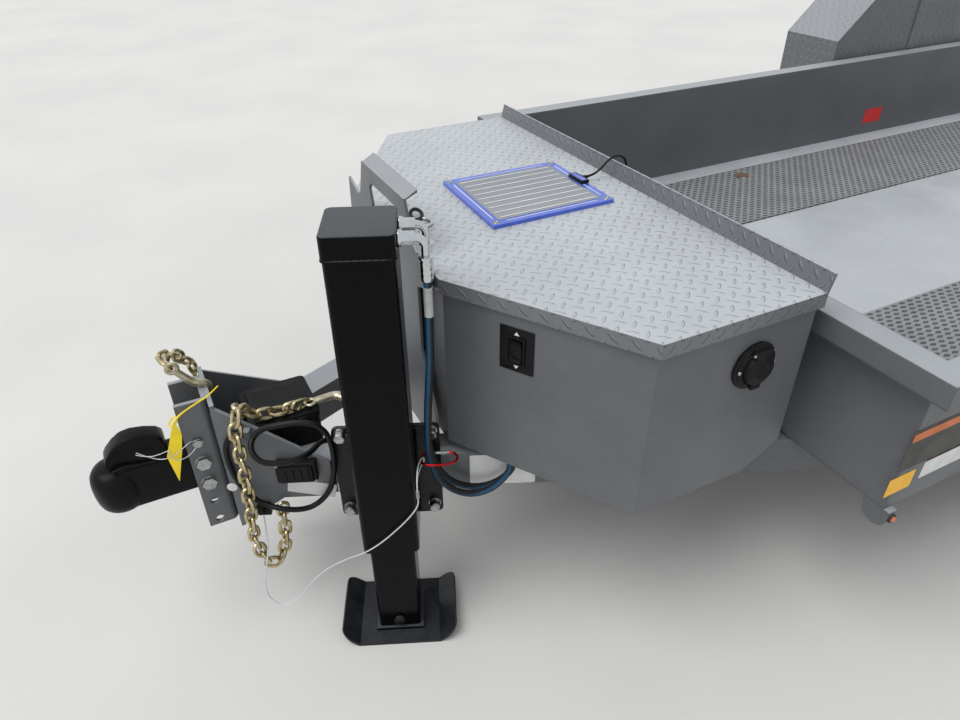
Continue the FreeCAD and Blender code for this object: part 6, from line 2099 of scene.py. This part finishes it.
@dataclass
class WheelTrim:
    """Tyres with blocks and grooves, nuts, grease caps and valves on the four wheels."""

    shop: PaintShop
    centres_x: tuple[float, float] = (-2320.0, -3200.0)
    centre_y: float = 1072.5
    centre_z: float = 391.0
    crown: float = 384.0
    lift_mm: float = 6.6
    nut_ring: float = 82.5
    face: float = 28.0

    def build(self) -> None:
        """Builds each wheel's tyre and fittings."""
        for axle, x in zip(("front", "rear"), self.centres_x):
            for side, hand in ((1, "left"), (-1, "right")):
                centre = lid_point(x, side * self.centre_y, self.centre_z)
                for maker in (self.tyre, self.nuts, self.cap, self.valve):
                    maker(f"{axle}_{hand}", centre, LEFT * side)

    def tyre(self, name: str, centre: Vector, out: Vector) -> None:
        """One tyre: its carcass spun, its crown's faces inset and raised into blocks.

        Args:
            name: The wheel's name.
            centre: Its centre.
            out: The way outward along its axle.
        """
        def on_crown(face: Any) -> bool:
            """Whether a face is one of the crown's, between its shoulders."""
            arm = face.calc_center_median() - centre
            return arm.xz.length > 0.3825 and abs(arm.y) < 0.089

        def on_shoulder(face: Any) -> bool:
            """Whether a face is one of every second on the shoulders."""
            arm = face.calc_center_median() - centre
            return (0.3805 < arm.xz.length < 0.3825 and abs(arm.y) > 0.09
                    and int(math.degrees(math.atan2(arm.z, arm.x)) // 5.4545) % 2 == 0)

        side = [(204, 96), (209, 105), (215, 108), (219, 106.5), (235, 113), (262, 116),
                (264, 116.8), (268, 116.8), (270, 116.2), (296, 116.6), (325, 115.5),
                (344, 113), (348, 113.4), (358, 110), (370, 105), (378, 101)]
        crown = [(self.crown, y) for y in (-90, -54, -18, 18, 54, 90)]
        profile = [(r, -y) for r, y in side] + crown + side[::-1] + [(204, -96)]
        piece = turned(f"tread_{name}", profile, centre, out, 66)
        open_edit(piece)
        pick(piece, on_crown)
        bpy.ops.mesh.inset(thickness=0.0036, depth=self.lift_mm / 1000, use_individual=True)
        pick(piece, on_shoulder)
        bpy.ops.mesh.inset(thickness=0.003, depth=0.003, use_individual=True)
        close_edit()
        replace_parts(piece, f"tyre_{name}")
        self.shop.dress(piece, RUBBER, body=f"wheel_{name}", slot="tyre")

    def nuts(self, name: str, centre: Vector, out: Vector) -> None:
        """Eight wheel nuts on the rim's disc.

        Args:
            name: The wheel's name.
            centre: Its centre.
            out: The way outward along its axle.
        """
        places = []
        for index in range(8):
            angle = (index + 0.5) * math.pi / 4
            spot = centre + out * self.face / 1000 + Vector(
                (math.cos(angle), 0, math.sin(angle))) * self.nut_ring / 1000
            places.append(facing(spot, out, 13 * index))
        nuts = repeated(hex_head("wheel_nut", 21, 15, 2), f"wheel_nuts_{name}", places)
        self.shop.dress(nuts, BRIGHT_ZINC, body=f"wheel_{name}", slot="zinc")

    def cap(self, name: str, centre: Vector, out: Vector) -> None:
        """The pressed grease cap with its shoulder ring."""
        profile = [(60.4, 27), (60.4, 33), (58, 36), (47, 38), (43.6, 40), (43.4, 44),
                   (44.2, 46), (43.4, 48), (43.2, 58), (41, 62.4), (36, 63.8), (13, 64.2),
                   (12, 62.6), (9, 62.6), (8, 64.4), (0, 64.8)]
        self.shop.spin(f"grease_cap_{name}", profile, centre, out, 40, HARD_CHROME, "chrome",
                       body=f"wheel_{name}")

    def valve(self, name: str, centre: Vector, out: Vector) -> None:
        """The rubber valve stem with its cap, beside a hand hole.

        Args:
            name: The wheel's name.
            centre: Its centre.
            out: The way outward along its axle.
        """
        angle = math.pi / 8
        spot = centre + Vector((math.cos(angle), 0, math.sin(angle))) * 0.176
        profile = [(0, 24), (6.5, 24), (6.2, 31), (4.6, 34), (4.2, 48), (4.6, 48.5),
                   (4.6, 56), (3.6, 58), (0, 58)]
        self.shop.spin(f"valve_{name}", profile, spot, out, 14, RUBBER,
                       "tyre", body=f"wheel_{name}")


@dataclass
class CylinderTrim:
    """Bands, port nuts and grease nipples on the tilt cylinder."""

    shop: PaintShop
    rear: Point = (-1080.0, 0.0, 270.0)
    front: Point = (-1900.0, 0.0, 385.0)
    radius: float = 36.0
    eye_mm: float = 28.5

    def build(self) -> None:
        """Builds the barrel's bands and ports, and a grease nipple at each eye."""
        start = lid_point(*self.rear)
        end = lid_point(*self.front)
        along = (end - start).normalized()
        band = [(self.radius, -1), (self.radius + 2.6, 0.5), (self.radius + 2.6, 9.5),
                (self.radius, 11)]
        bands = [turned(f"band_{index}", band, start + along * place / 1000, along, 36)
                 for index, place in enumerate((62, 96, 480, 512))]
        self.shop.dress(joined("cylinder_bands", bands), BLACK_ENAMEL, body=Body.BARREL)
        across = along.cross(LEFT).normalized()
        if across.z > 0:
            across = -across
        for index, place in enumerate((120, 470)):
            base = start + along * place / 1000 + across * (self.radius - 3) / 1000
            self.shop.spin(f"cylinder_port_{index}",
                           [(0, 0), (13, 0), (13, 7), (11.5, 9), (9, 9), (9, 16), (7, 17),
                            (0, 17)], base, across, 6, BRIGHT_ZINC, body=Body.BARREL)
        for index, (eye, out, body) in enumerate(((start, -along, Body.BARREL),
                                                  (end, along, Body.ROD))):
            self.shop.spin(f"grease_nipple_{index}",
                           [(3.6, 0), (4, 1), (4, 3.5), (2.2, 4.4), (1.9, 6), (2.8, 7.4),
                            (2.2, 9), (0, 9.3)], eye + out * self.eye_mm / 1000, out, 10,
                           BRIGHT_ZINC, body=body)


@dataclass
class WeldBeads:
    """Rippled weld beads where the tongue's plates meet."""

    shop: PaintShop
    step_mm: float = 7.0

    def build(self) -> None:
        """Builds the grey beads of the tongue and the black ones of the jack."""
        channel = [(lid_point(1098.5, y, 368), lid_point(1098.5, y, 600)) for y in (51.5, -51.5)]
        gusset = [(head_point(239, 1.5, 462), head_point(239, 1.5, 368)),
                  (head_point(234, 1.5, 365), head_point(124, 1.5, 365))]
        jack = [(jack_point(s, -62, 302), jack_point(s, -62, 560)) for s in (-65, 65)]
        for name, lines, radius_mm, finish in (("tongue_welds", channel + gusset, 3.4, WELD),
                                               ("jack_welds", jack, 3.2, BLACK_ENAMEL)):
            beads = [self.bead(f"{name}_{index}", *ends, radius_mm)
                     for index, ends in enumerate(lines)]
            self.shop.dress(joined(name, beads), finish)

    def bead(self, name: str, start: Vector, end: Vector, radius_mm: float) -> Piece:
        """One bead whose thickness ripples along its length.

        Args:
            name: The bead's name.
            start: Where it starts.
            end: Where it ends.
            radius_mm: Its mean radius.

        Returns:
            The bead.
        """
        count = max(3, round((end - start).length * 1000 / self.step_mm))
        places = [start.lerp(end, index / count) for index in range(count + 1)]
        widths = [0.75 + 0.4 * (index % 2) + 0.06 * math.sin(index * 1.9)
                  for index in range(count + 1)]
        return wire_piece(name, places, radius_mm, widths=widths)


if __name__ == "__main__":
    main()
